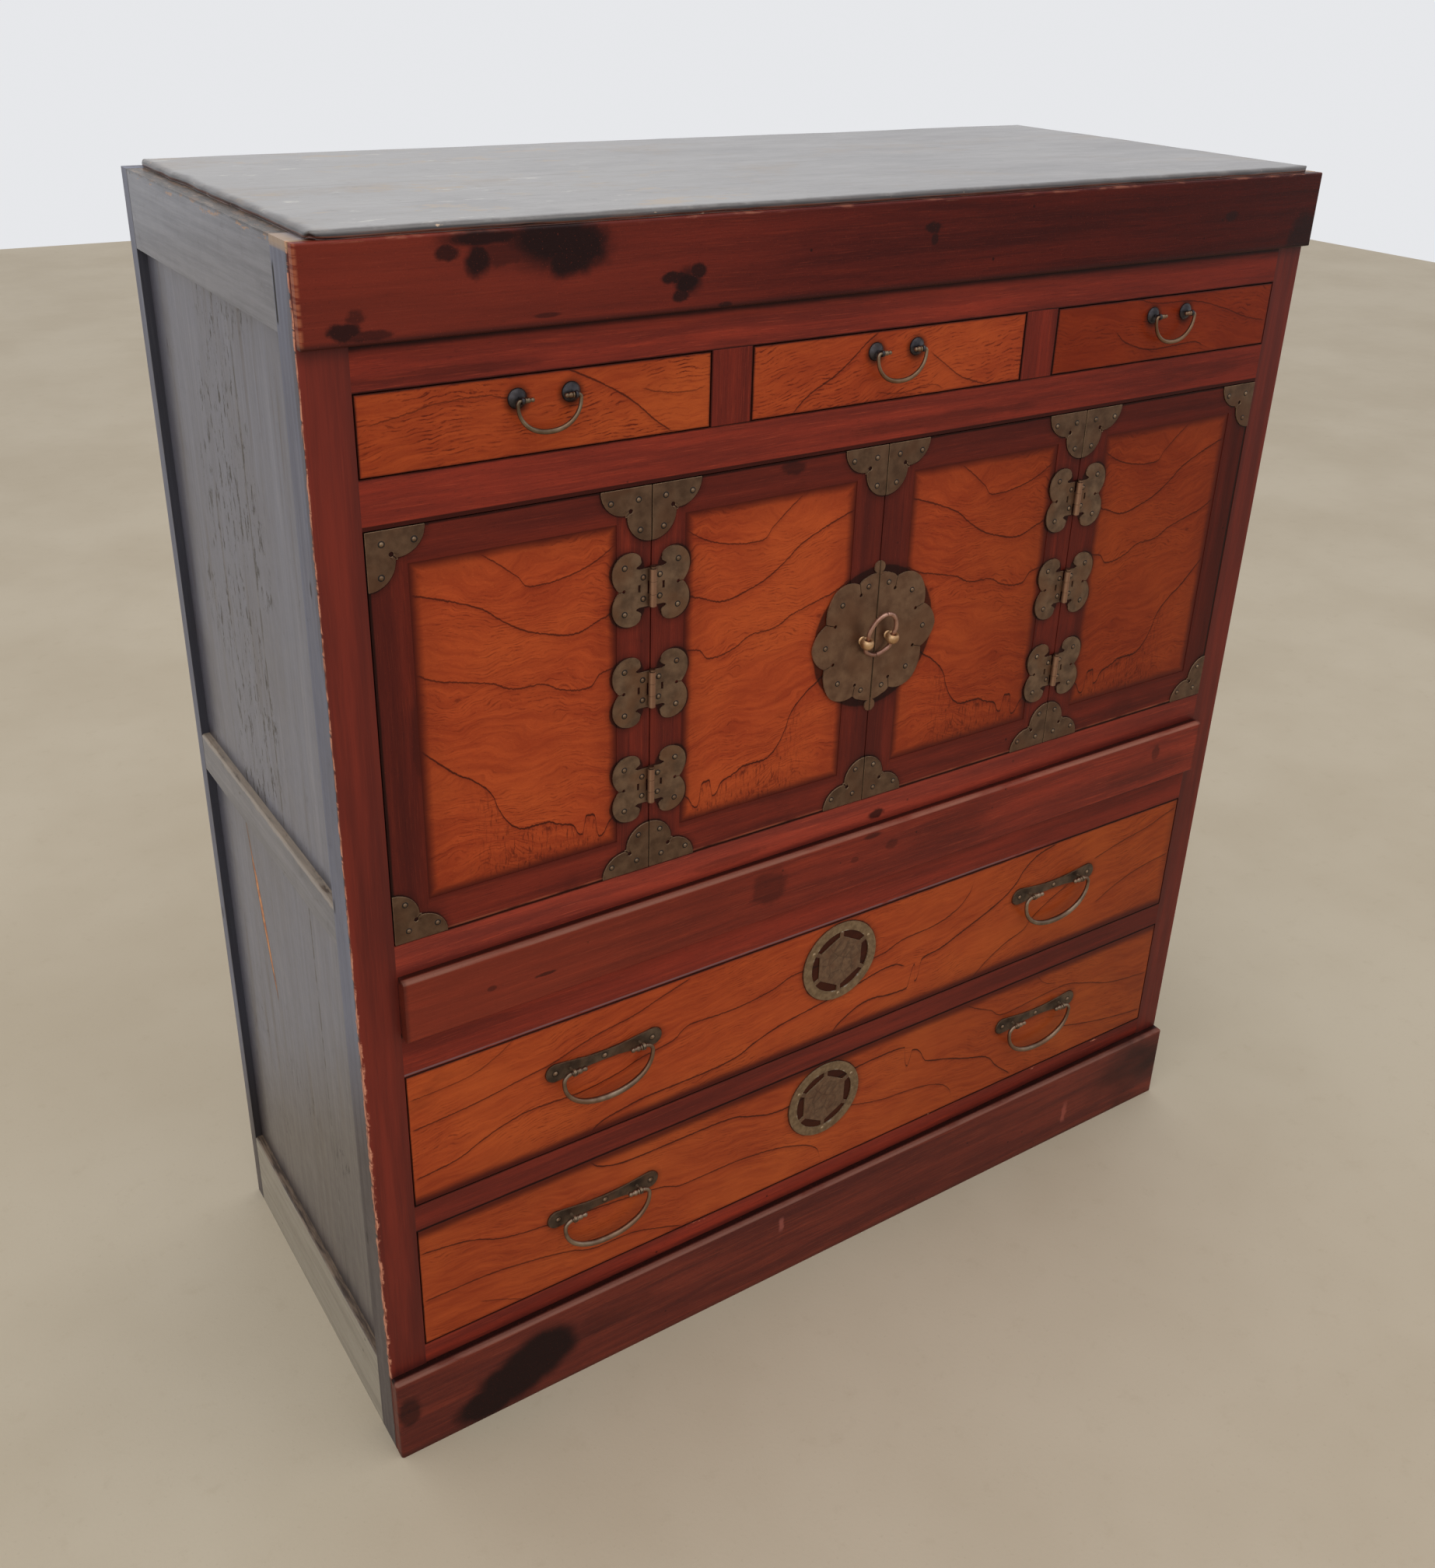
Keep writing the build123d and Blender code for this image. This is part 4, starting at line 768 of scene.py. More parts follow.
LOWER_LINES = [
    ([(-317, 272), (-303, 260), (-277, 253), (-233, 252), (-187, 252), (-143, 250), (-120, 242), (-77, 232), (-30, 240), (27, 248), (70, 249), (96, 246), (105, 238), (97, 226), (103, 217), (130, 213), (160, 203), (193, 190), (227, 178), (247, 157), (275, 132)], 2.3, 1.0, 1.0),
    ([(-501, 245), (-453, 237), (-410, 220), (-367, 213), (-300, 206), (-233, 197), (-200, 187), (-153, 187), (-103, 183), (-53, 170), (-25, 153), (-18, 131)], 2.0, 0.9, 1.0),
    ([(-501, 183), (-437, 182), (-387, 175), (-343, 165), (-307, 153), (-273, 152), (-237, 142), (-205, 130)], 2.0, 0.85, 0.9),
    ([(-443, 151), (-420, 141), (-395, 128)], 1.6, 0.6, 0.8),
    ([(186, 270), (198, 262), (227, 247), (253, 233), (300, 236), (340, 238), (387, 227), (437, 210), (501, 201)], 1.8, 0.8, 0.9),
    ([(296, 274), (313, 255), (335, 246)], 1.5, 0.6, 0.8),
    ([(14, 197), (67, 183), (120, 177), (153, 168), (173, 152), (179, 131)], 1.7, 0.8, 0.9),
    ([(345, 176), (403, 160), (470, 147), (501, 143)], 1.8, 0.8, 0.8),
]


def lower_soft(g):
    n = g.mul(g.sn(g.vec(g.mul(g.x, 0.010), 0.0, 0.0), 1.0, 4, 0.6), 2.0)
    k = g.mul(g.step(g.add(g.z, n), 259.0, 271.0), 0.90)
    k = g.max(k, g.mul(g.step(g.add(g.z, n), 235.0, 270.0), 0.14))
    cl = g.noise(g.vec(g.mul(g.x, 0.012), 9.0, g.mul(g.z, 0.025)), 1.0, 4, 0.6)
    k = g.max(k, g.mul(g.step(g.x, 380.0, 500.0), g.step(cl, 0.35, 0.7), 0.35))
    k = g.max(k, g.mul(g.step(g.z, 131.5, 128.0), 0.45))
    return k


M_LOWER = zelkova("mat_lower_drawer", g_x, LOWER_LINES, slope=-0.13, soft=lower_soft, edge=lambda g: g.min(g.sub(g.x, -502.0), g.sub(502.0, g.x), g.sub(g.z, 127.6), g.sub(274.2, g.z)), dark_right=(0.78, 0.80, 0.62, 1), fine_amp=0.8, tone=(0.91, 1.02, 0.98), grime=drawer_shade_and_grime((-301.0, 303.0), 215.5, -20.0, 223.5))

SMALL_LINES = {
    "left": [([(-330, 1075), (-317, 1069), (-293, 1057), (-267, 1040), (-250, 1025), (-232, 1012)], 1.9, 0.9, 0.9),
             ([(-495, 1050), (-460, 1056), (-440, 1060), (-400, 1062), (-380, 1058), (-360, 1060)], 1.3, 0.6, 1.2),
             ([(-262, 1052), (-240, 1046), (-215, 1044), (-200, 1047)], 1.3, 0.6, 1.0)],
    "centre": [([(-112, 1011), (-93, 1027), (-67, 1040), (-50, 1052), (-33, 1066), (-20, 1074)], 1.9, 0.9, 1.0),
               ([(40, 1050), (60, 1036), (80, 1023), (113, 1012)], 1.6, 0.75, 1.0),
               ([(-20, 1020), (10, 1016), (40, 1020), (60, 1014)], 1.3, 0.5, 1.0)],
    "right": [([(276, 1045), (300, 1030), (340, 1022), (390, 1024), (410, 1018)], 1.6, 0.75, 1.0),
              ([(300, 1075), (330, 1068), (380, 1066), (430, 1055), (470, 1042), (500, 1036)], 1.5, 0.65, 1.0)],
}


def small_soft(x0, x1):
    def f(g):
        e = g.min(g.sub(g.x, x0), g.sub(x1, g.x), g.sub(g.z, 1011.4), g.sub(1074.1, g.z))
        n = g.mul(g.sn(g.vec(g.mul(g.x, 0.04), 0.0, g.mul(g.z, 0.04)), 1.0, 3), 0.8)
        return g.max(g.mul(g.step(g.add(e, n), 3.0, 0.6), 0.55), g.mul(g.step(e, 12.0, 0.0), 0.10))
    return f


def board_edge(x0, x1, z0, z1):
    return lambda g: g.min(g.sub(g.x, x0), g.sub(x1, g.x), g.sub(g.z, z0), g.sub(z1, g.z))


def post_halos(xc):
    return [(xc - 23.2, 1055.5, 7.0, 14.5), (xc + 23.2, 1055.5, 7.0, 14.5)]


M_SMALL = {
    "left": zelkova("mat_small_left", g_x, SMALL_LINES["left"], slope=0.06, soft=small_soft(-502.0, -195.9), edge=board_edge(-502.0, -195.9, 1011.4, 1074.1), halos=post_halos(-349.0), fine_amp=1.8, tone=(0.93, 0.99, 0.93)),
    "centre": zelkova("mat_small_centre", g_x, SMALL_LINES["centre"], slope=0.2, soft=small_soft(-153.6, 153.6), edge=board_edge(-153.6, 153.6, 1011.4, 1074.1), halos=post_halos(0.0), fine_amp=1.5, tone=0.92),
    "right": zelkova("mat_small_right", g_x, SMALL_LINES["right"], slope=-0.12, soft=small_soft(195.9, 502.2), edge=board_edge(195.9, 502.2, 1011.4, 1074.1), halos=post_halos(350.0), fine_amp=1.2, tone=(0.52, 0.39, 0.34)),
}


# leaf frames: red, darker on the stiles, nearly black at the far edge of the fixed leaves
def leaf_extra(g, col, rough):
    ux = leaf_u(g)
    n = g.mul(g.sn(g.vec(g.mul(g.x, 0.02), 0.0, g.mul(g.z, 0.008)), 1.0, 3), 3.0)
    outer = g.mul(g.step(g.add(ux, n), 214.0, 236.0), 0.55)
    inner = g.mul(g.step(g.add(ux, n), 34.0, 6.0), 0.22)
    top = g.mul(g.step(g.add(g.z, n), 935.0, 968.0), 0.40)
    k = g.max(outer, inner, top)
    c = g.noise(g.vec(g.mul(g.x, 0.010), 0.0, g.mul(g.z, 0.012)), 1.0, 4, 0.6)
    k = g.max(k, g.mul(g.step(c, 0.50, 0.70), 0.35))
    col = g.mix(k, col, lin(58, 22, 20))
    eo = g.max(g.sub(34.2, ux), g.sub(ux, 217.6), g.sub(636.6, g.z), g.sub(g.z, 940.4))
    col = g.mix(g.mul(g.step(g.add(eo, g.mul(n, 0.5)), 11.0, -1.0), 0.50), col, STAIN)
    col = g.mix(1.0, col, g.mix(g.step(g.x, -60.0, 420.0), (1, 1, 1, 1), (0.72, 0.62, 0.62, 1)), "MULTIPLY")
    # painted shade and grime round the hinges, brackets and lock plate
    col = g.mix(fitting_shade_and_grime(g), col, lin(22, 10, 9))
    # painted shade: a black line round the leaf's outer edges, where the gaps fall in shadow
    leaf_gap_shade = g.min(g.sub(970.2, g.z), g.sub(g.z, 600.4), g.sub(501.5, g.abs(g.x)))
    col = g.mix(g.mul(g.step(g.add(leaf_gap_shade, g.mul(n, 0.25)), 2.6, 0.8), 0.85), col, INK)
    # the fine light line below each leaf where the rail's lacquer is rubbed
    ln = g.mul(g.step(g.abs(g.sub(g.z, 602.2)), 1.3, 0.5), g.step(g.noise(g.vec(g.mul(g.x, 0.02), 2.0, 0.0), 1.0, 3), 0.35, 0.6), 0.4)
    col = g.mix(ln, col, lin(176, 96, 68))
    return col, rough


M_LEAF = red_wood("mat_leaf_frames", "leaf", blots=[
    (-105, 963, 14, 7, 0.6, dict(wob=0.5, ns=0.08)), (-470, 790, 5, 40, 0.35, dict(wob=0.5, ns=0.03))], extra=leaf_extra, light=(0.92, 1.04, 1.12))


# ------------------------------------------------------------------------ metal
def bronze(name, dark=lin(84, 62, 47), light=lin(112, 86, 66), brown=lin(98, 66, 47), rough0=0.32, scale=1.0, metal=0.8, seed=0.0, rim=None, extra=None):
    g = Graph(name)
    p = g.vec(g.add(g.x, seed), g.y, g.z)
    big = g.noise(p, 0.022 * scale, 3, 0.55)
    mid = g.noise(p, 0.075 * scale, 4, 0.58)
    fine = g.noise(p, 0.9 * scale, 3, 0.6)
    pit = g.voronoi(p, 0.36 * scale)
    scr = g.noise(g.vec(g.mul(g.add(g.x, g.z), 0.9), seed, g.mul(g.sub(g.x, g.z), 0.05)), 1.0, 3, 0.6)
    col = g.mix(g.step(mid, 0.30, 0.72), dark, light)
    col = g.mix(g.mul(g.step(big, 0.46, 0.64), 0.60), col, brown)
    col = g.mix(g.mul(g.step(fine, 0.58, 0.76), 0.25), col, lin(42, 31, 24))
    col = g.mix(g.mul(g.step(scr, 0.66, 0.74), 0.22), col, light)
    col = g.mix(g.mul(g.step(pit, 0.13, 0.05), g.step(mid, 0.50, 0.60), 0.55), col, lin(30, 22, 18))
    if rim:
        # bright edges where the surface turns away from the front: partly worn metal, partly a painted highlight
        ny = g.abs(g.normal()[1])
        col = g.mix(g.mul(g.step(ny, 0.965, 0.80), 0.75), col, rim)
    if extra:
        col = extra(g, col)
    rough = g.add(rough0, g.mul(mid, 0.20), g.mul(fine, 0.08))
    h = g.add(g.mul(big, 2.0), g.mul(mid, 0.5), g.mul(fine, 0.12), g.mul(g.step(pit, 0.14, 0.05), -0.3))
    g.bump(h, 0.0005, 0.4)
    return g.done(col, rough, metal=metal)


RIM = lin(176, 146, 116)


def hinge_extra(g, col):
    # the knuckles are rubbed to a paler, pinkish brown
    u = g.abs(g.sub(g.abs(g.x), 251.5))
    k = g.mul(g.step(u, 4.6, 3.4), g.step(g.y, -1.3, -2.0), 0.7)
    return g.mix(k, col, lin(152, 112, 88))


def bar_extra(g, col):
    # the nail heads at the ends and the middle, each a painted highlight in a dark ring of painted shadow and grime
    az = g.abs(g.sub(g.abs(g.sub(g.z, 308.0)), 92.5))
    ax = g.abs(g.sub(g.abs(g.sub(g.x, 1.25)), 301.0))
    ax = g.min(ax, g.abs(g.sub(ax, 54.0)))
    r = hyp(g, ax, az)
    col = g.mix(g.mul(g.step(r, 4.4, 2.7), 0.7), col, lin(26, 19, 16))
    return g.mix(g.mul(g.step(r, 2.7, 2.1), g.step(g.y, -1.2, -1.7), 0.85), col, lin(150, 122, 98))


M_PLATE = bronze("mat_bronze_plates", rim=RIM)
M_HINGE = bronze("mat_bronze_hinges", seed=300.0, dark=lin(92, 71, 56), light=lin(128, 102, 80), brown=lin(116, 80, 56), rim=RIM, extra=hinge_extra)
M_LOCK = bronze("mat_bronze_lock", seed=700.0, dark=lin(100, 72, 55), light=lin(130, 100, 77), brown=lin(112, 78, 57), scale=0.8, rim=RIM)
M_BAR = bronze("mat_bronze_bars", dark=lin(66, 54, 46), light=lin(106, 88, 72), brown=lin(92, 66, 50), seed=100.0, rim=lin(150, 128, 104), extra=bar_extra)
M_BAIL = bronze("mat_bail", dark=lin(106, 88, 74), light=lin(156, 136, 116), brown=lin(126, 92, 70), rough0=0.20, scale=0.6, metal=0.95)
M_BAIL_S = bronze("mat_bail_small", dark=lin(98, 82, 66), light=lin(150, 130, 108), brown=lin(120, 86, 62), rough0=0.20, scale=0.8, metal=0.95)
M_POST = bronze("mat_pull_posts", dark=lin(40, 38, 42), light=lin(82, 79, 82), brown=lin(54, 46, 44), rough0=0.22, scale=1.2)
M_NAIL = bronze("mat_nails", dark=lin(106, 84, 66), light=lin(152, 128, 104), brown=lin(116, 84, 62), rough0=0.24, scale=1.0, metal=0.95)
M_EYE = bronze("mat_eyes", dark=lin(178, 138, 98), light=lin(222, 184, 140), brown=lin(164, 114, 82), rough0=0.24, scale=1.0, metal=0.9)
M_RING = bronze("mat_ring", dark=lin(142, 102, 86), light=lin(196, 154, 136), brown=lin(124, 84, 70), rough0=0.22, scale=0.8, metal=0.9)
M_PIN = bronze("mat_hinge_pins", dark=lin(96, 72, 58), light=lin(146, 116, 94), brown=lin(108, 78, 58), rough0=0.30, scale=1.5, metal=0.95)


def disc_material():
    """a dull disc; its plain centre carries a faint engraved turtle-shell of six cells"""
    g = Graph("mat_discs")
    up = g.step(g.z, 300.0, 310.0)
    cx = g.add(-20.0, g.mul(up, 8.0))
    cz = g.add(223.5, g.mul(up, 183.0))
    dx, dz = g.sub(g.x, cx), g.sub(g.z, cz)
    r = g.f("SQRT", g.add(g.mul(dx, dx), g.mul(dz, dz)))
    mid = g.noise(g.P, 0.18, 5, 0.65)
    big = g.noise(g.P, 0.05, 4, 0.6)
    fine = g.noise(g.P, 1.4, 3, 0.6)
    col = g.mix(g.step(mid, 0.33, 0.70), lin(104, 80, 64), lin(134, 106, 83))
    col = g.mix(g.mul(g.step(big, 0.45, 0.66), 0.5), col, lin(116, 82, 62))
    # a lighter band on the raised rim: partly worn metal, partly a painted highlight
    rim = g.step(r, 36.6, 38.0)
    col = g.mix(g.mul(rim, 0.75), col, g.mix(g.step(mid, 0.35, 0.65), lin(124, 103, 78), lin(152, 130, 100)))
    cells = g.voronoi(g.vec(g.mul(dx, 0.062), 0.0, g.mul(dz, 0.062)), 1.0, "DISTANCE_TO_EDGE")
    en = g.mul(g.step(cells, 0.06, 0.02), g.step(r, 25.0, 22.0), 0.30)
    col = g.mix(en, col, lin(60, 46, 38))
    col = g.mix(g.mul(g.step(fine, 0.60, 0.76), 0.3), col, lin(40, 32, 28))
    # painted highlight on the bevels, where the surface turns away from the front
    ny = g.abs(g.normal()[1])
    col = g.mix(g.mul(g.step(ny, 0.965, 0.80), 0.75), col, lin(178, 152, 120))
    # painted highlight: broken bright glints along the edge of the rim
    edge = g.mul(g.step(g.abs(g.sub(r, 37.4)), 1.5, 0.4), g.step(mid, 0.54, 0.64), 0.8)
    col = g.mix(edge, col, lin(196, 188, 172))
    rough = g.add(0.38, g.mul(mid, 0.26))
    g.bump(g.add(g.mul(mid, 0.9), g.mul(fine, 0.3), g.mul(en, -1.6)), 0.0006, 0.5)
    return g.done(col, rough, metal=0.8)


M_DISC = disc_material()


# --------------------------------------------------------------------- inside
def pale_wood(name, grain="x", c0=lin(150, 112, 74), c1=lin(190, 152, 108), dark=lin(98, 70, 46)):
    g = Graph(name)
    a, c = {"x": (g.x, g.add(g.z, g.mul(g.y, 1.0))), "y": (g.y, g.add(g.x, g.z)), "z": (g.z, g.x)}[grain]
    wob = g.mul(g.sn(g.vec(g.mul(a, 0.004), g.mul(c, 0.01), 0.0), 1.0, 2), 8.0)
    cc = g.add(c, wob)
    broad = g.noise(g.vec(g.mul(a, 0.003), g.mul(cc, 0.05), 0.0), 1.0, 4, 0.6)
    fine = g.noise(g.vec(g.mul(a, 0.014), g.mul(cc, 0.6), 0.0), 1.0, 4, 0.65)
    grime = g.noise(g.P, 0.008, 4, 0.65)
    col = g.mix(g.step(broad, 0.3, 0.7), c0, c1)
    col = g.mix(g.mul(g.step(fine, 0.52, 0.34), 0.45), col, dark)
    col = g.mix(g.mul(g.step(grime, 0.5, 0.72), 0.4), col, dark)
    g.bump(fine, 0.0005, 0.5)
    return g.done(col, g.add(0.55, g.mul(fine, 0.2)), spec=0.35)


M_BOX = pale_wood("mat_drawer_boxes", "y")
M_SHELF = pale_wood("mat_inner_shelves", "x", lin(128, 94, 62), lin(166, 130, 92), lin(84, 60, 42))
M_GUIDE = pale_wood("mat_guides", "y", lin(120, 88, 58), lin(150, 116, 82), lin(80, 58, 40))
M_BACK = pale_wood("mat_back_panel", "z", lin(88, 70, 54), lin(122, 98, 74), lin(54, 42, 34))


def set_mat(name, mat):
    o = NODES[name]
    if not o.data.materials:
        o.data.materials.append(mat)
    for i in range(len(o.data.materials)):
        o.data.materials[i] = mat


for n in NODES:
    if n.endswith("_box"):
        set_mat(n, M_BOX)
for n, m in {"cornice_board": M_CORNICE, "middle_board": M_MIDDLE, "plinth_board": M_PLINTH, "front_posts": M_FRONT_POST,
             "back_posts": M_BACK_POST, "side_rails": M_SIDE_RAIL, "side_panels": M_SIDE_PANEL, "back_panel": M_BACK,
             "front_rails": M_RAILS, "muntins": M_MUNTIN, "inner_shelves": M_SHELF, "drawer_guides": M_GUIDE,
             "fixed_leaf_frames": M_LEAF, "door_left_frame": M_LEAF, "door_right_frame": M_LEAF,
             "fixed_leaf_panels": M_PANEL, "door_left_panel": M_PANEL, "door_right_panel": M_PANEL,
             "fixed_corner_brackets": M_PLATE, "door_left_brackets": M_PLATE, "door_right_brackets": M_PLATE,
             "fixed_hinge_leaves": M_HINGE, "door_left_hinge_leaves": M_HINGE, "door_right_hinge_leaves": M_HINGE,
             "fixed_nails": M_NAIL, "door_left_nails": M_NAIL, "door_right_nails": M_NAIL, "hinge_pins": M_PIN,
             "door_left_lock_plate": M_LOCK, "door_right_lock_plate": M_LOCK, "door_left_eye": M_EYE, "door_right_eye": M_EYE,
             "ring_half_left": M_RING, "ring_half_right": M_RING,
             "upper_wide_drawer_front": M_UPPER, "lower_wide_drawer_front": M_LOWER,
             "upper_wide_drawer_disc": M_DISC, "lower_wide_drawer_disc": M_DISC}.items():
    set_mat(n, m)
for k in ("left", "centre", "right"):
    set_mat(f"small_drawer_{k}_front", M_SMALL[k])
    set_mat(f"small_drawer_{k}_pull_posts", M_POST)
    set_mat(f"small_drawer_{k}_bail", M_BAIL_S)
for t in ("upper", "lower"):
    set_mat(f"{t}_wide_drawer_handle_plates", M_BAR)
    for s in ("left", "right"):
        set_mat(f"{t}_wide_drawer_bail_{s}", M_BAIL)


# ------------------------------------------------------------------ worn edges
def soften(name, width, seg=2, angle=32.0):
    """rounds a node's sharp edges a little with modifiers; its own mesh stays as it is"""
    o = NODES[name]
    w = o.modifiers.new("weld", "WELD")
    w.merge_threshold = 1e-5
    b = o.modifiers.new("edge", "BEVEL")
    b.limit_method = "ANGLE"
    b.angle_limit = math.radians(angle)
    b.width = width
    b.segments = seg
    b.use_clamp_overlap = True
    b.harden_normals = False
    n = o.modifiers.new("normals", "WEIGHTED_NORMAL")
    n.keep_sharp = False
    for p in o.data.polygons:
        p.use_smooth = True


for n in ("fixed_corner_brackets", "door_left_brackets", "door_right_brackets", "fixed_hinge_leaves", "door_left_hinge_leaves",
          "door_right_hinge_leaves", "door_left_lock_plate", "door_right_lock_plate", "upper_wide_drawer_disc", "lower_wide_drawer_disc",
          "upper_wide_drawer_handle_plates", "lower_wide_drawer_handle_plates"):
    soften(n, 0.0007)
for n in ("front_posts", "back_posts", "side_rails", "cornice_board", "plinth_board", "middle_board", "muntins"):
    soften(n, 0.0006)


# -------------------------------------------------- turned and bent metal pieces
# smooth versions of the small round fittings; millimetres, y = 0 on the frame's face
def at_mm(v):
    return Vector((v.x / 1000.0, v.y / 1000.0 + YC, v.z / 1000.0))


def add_ring(bm, c, ax, ref, r, seg):
    a = ref.normalized()
    b = ax.cross(a).normalized()
    return [bm.verts.new(at_mm(c + a * (r * math.cos(2 * math.pi * i / seg)) + b * (r * math.sin(2 * math.pi * i / seg)))) for i in range(seg)]


def bridge(bm, r0, r1, mi=0):
    n = len(r0)
    for i in range(n):
        f = bm.faces.new((r0[i], r0[(i + 1) % n], r1[(i + 1) % n], r1[i]))
        f.material_index = mi


def fan(bm, ring, c, flip, mi=0):
    v = bm.verts.new(at_mm(c))
    n = len(ring)
    for i in range(n):
        q = (ring[i], ring[(i + 1) % n], v)
        f = bm.faces.new(tuple(reversed(q)) if flip else q)
        f.material_index = mi


def tube(bm, pts, rad, seg=20):
    """a round rod along the points, with its own radius at each; the ends are closed with flat caps"""
    pts = [Vector(p) for p in pts]
    tan = []
    for i in range(len(pts)):
        a, b = pts[max(i - 1, 0)], pts[min(i + 1, len(pts) - 1)]
        tan.append((b - a).normalized())
    ref = Vector((0, 1, 0)) if abs(tan[0].y) < 0.9 else Vector((1, 0, 0))
    ref = (ref - tan[0] * ref.dot(tan[0])).normalized()
    rings = []
    for i, p in enumerate(pts):
        ref = (ref - tan[i] * ref.dot(tan[i])).normalized()
        rings.append(add_ring(bm, p, tan[i], ref, rad[i], seg))
    for a, b in zip(rings, rings[1:]):
        bridge(bm, a, b)
    fan(bm, rings[0], pts[0], True)
    fan(bm, rings[-1], pts[-1], False)


def lathe(bm, o, ax, prof, seg=24, mi=0, loop=False):
    """turns a profile of (along, radius) round an axis through o"""
    o, ax = Vector(o), Vector(ax).normalized()
    ref = Vector((0, 0, 1)) if abs(ax.z) < 0.9 else Vector((1, 0, 0))
    ref = (ref - ax * ref.dot(ax)).normalized()
    rings = []
    for t, r in prof:
        rings.append(None if r <= 0 else add_ring(bm, o + ax * t, ax, ref, r, seg))
    for k in range(len(prof) - 1):
        a, b = rings[k], rings[k + 1]
        if a and b:
            bridge(bm, a, b, mi)
        elif b:
            fan(bm, b, o + ax * prof[k][0], True, mi)
        elif a:
            fan(bm, a, o + ax * prof[k + 1][0], False, mi)
    if loop:
        bridge(bm, rings[-1], rings[0], mi)


def finish_piece(bm, name, mats, node, body):
    bmesh.ops.recalc_face_normals(bm, faces=bm.faces)
    me = bpy.data.meshes.new(name)
    bm.to_mesh(me)
    bm.free()
    for p in me.polygons:
        p.use_smooth = True
    o = bpy.data.objects.new(name, me)
    bpy.context.scene.collection.objects.link(o)
    for m in mats:
        me.materials.append(m)
    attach(o, body)
    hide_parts(node)
    return o


def bail_piece(node, body, xc, yc, zc, half, drop, eye, r0, r1, re, mat):
    bm = bmesh.new()
    d = drop - re
    pts, rad = [], []
    for i in range(9):
        a = math.radians(90.0 * i / 8)
        pts.append((-(half - re) - re * math.sin(a), 0.0, -re + re * math.cos(a)))
        rad.append(r0)
    n = 44
    for i in range(1, n):
        a = math.pi * i / n
        ca, sa = math.cos(a), math.sin(a)
        x = -half * math.copysign(abs(ca) ** (2 / 2.15), ca)
        z = -re - d * abs(sa) ** (2 / 2.15)
        pts.append((x, 0.0, z))
        rad.append(r0 + (r1 - r0) * (0.5 - 0.5 * math.cos(2 * a)) ** 0.75)
    for i in range(8, -1, -1):
        a = math.radians(90.0 * i / 8)
        pts.append(((half - re) + re * math.sin(a), 0.0, -re + re * math.cos(a)))
        rad.append(r0)
    tube(bm, [(xc + x, yc + y, zc + z) for x, y, z in pts], rad, 22)
    tip = eye - 5.6 * r0
    for s in (-1, 1):
        # the turned end: a collar, a bead and a tip, from the elbow inwards
        prof = [(half - re + 0.2, 0.0), (half - re + 0.2, r0), (eye - 1.9, r0), (eye - 2.0, r0 * 1.5), (eye - 2.6, r0 * 1.62), (eye - 3.2, r0 * 1.5), (eye - 3.3, r0 * 1.02)]
        c, rb = eye - 2.0 - 2.0 * r0, r0 * 1.5
        prof += [(c - rb * math.sin(math.radians(q)), rb * math.cos(math.radians(q))) for q in (-48, -30, -10, 10, 30, 48)]
        prof += [(c - rb * 0.80, r0 * 0.92)]
        rt = r0 * 1.25
        prof += [(tip - rt * math.sin(math.radians(q)), rt * math.cos(math.radians(q))) for q in (-40, -20, 0, 20, 40, 60, 78)] + [(tip - rt, 0.0)]
        lathe(bm, (xc, yc, zc), (s, 0, 0), prof, 20)
    return finish_piece(bm, node + "_smooth", [mat], node, body)


BAIL_S = dict(half=27.3, drop=26.4, eye=23.2, r0=1.5, r1=2.15, re=2.6)
BAIL_L = dict(half=49.4, drop=44.5, eye=38.5, r0=2.1, r1=3.2, re=8.4)
for k, xc in (("left", -349.0), ("centre", 0.0), ("right", 350.0)):
    bail_piece(f"small_drawer_{k}_bail", f"small_drawer_{k}_bail", xc, -9.0, 1056.5, mat=M_BAIL_S, **BAIL_S)
    bm = bmesh.new()
    for s in (-1, 1):
        x = xc + s * 23.2
        n = 9
        rim = math.degrees(math.asin(6.2 / 10.4))
        prof = [(0.0, 0.0), (0.0, 8.34)] + [(10.4 * math.sin(math.radians(rim + (90 - rim) * i / n)) - 6.2, 10.4 * math.cos(math.radians(rim + (90 - rim) * i / n))) for i in range(1, n)] + [(4.2, 0.0)]
        lathe(bm, (x, 0, 1056.5), (0, -1, 0), prof, 32)
        lathe(bm, (x, -3.0, 1056.5), (0, -1, 0), [(0, 2.2), (0.8, 1.55), (4.6, 1.4)], 16)
        lathe(bm, (x, -9.0, 1056.5), (1, 0, 0), [(-1.3, 1.62), (-1.3, 2.5), (-0.7, 2.95), (0.7, 2.95), (1.3, 2.5), (1.3, 1.62)], 24, loop=True)
    finish_piece(bm, f"small_drawer_{k}_pull_posts_smooth", [M_POST], f"small_drawer_{k}_pull_posts", f"small_drawer_{k}")
for t, z, xs in (("upper", 400.5, (-299.0, 302.0)), ("lower", 215.5, (-301.0, 303.0))):
    for side, xc in zip(("left", "right"), xs):
        n = f"{t}_wide_drawer_bail_{side}"
        bail_piece(n, n, xc, -9.5, z, mat=M_BAIL, **BAIL_L)

# the ring and its eyes lean out at the top
TILT = math.radians(15.0)
EX, EY, EZ = 15.4, -9.2, 779.0
UP = Vector((0, -math.sin(TILT), math.cos(TILT)))


def hermite(p0, p1, t0, t1, n):
    out = []
    for i in range(1, n + 1):
        t = i / n
        h = (2 * t ** 3 - 3 * t ** 2 + 1, t ** 3 - 2 * t ** 2 + t, -2 * t ** 3 + 3 * t ** 2, t ** 3 - t ** 2)
        out.append(tuple(h[0] * a + h[1] * b + h[2] * c + h[3] * e for a, b, c, e in zip(p0, t0, p1, t1)))
    return out


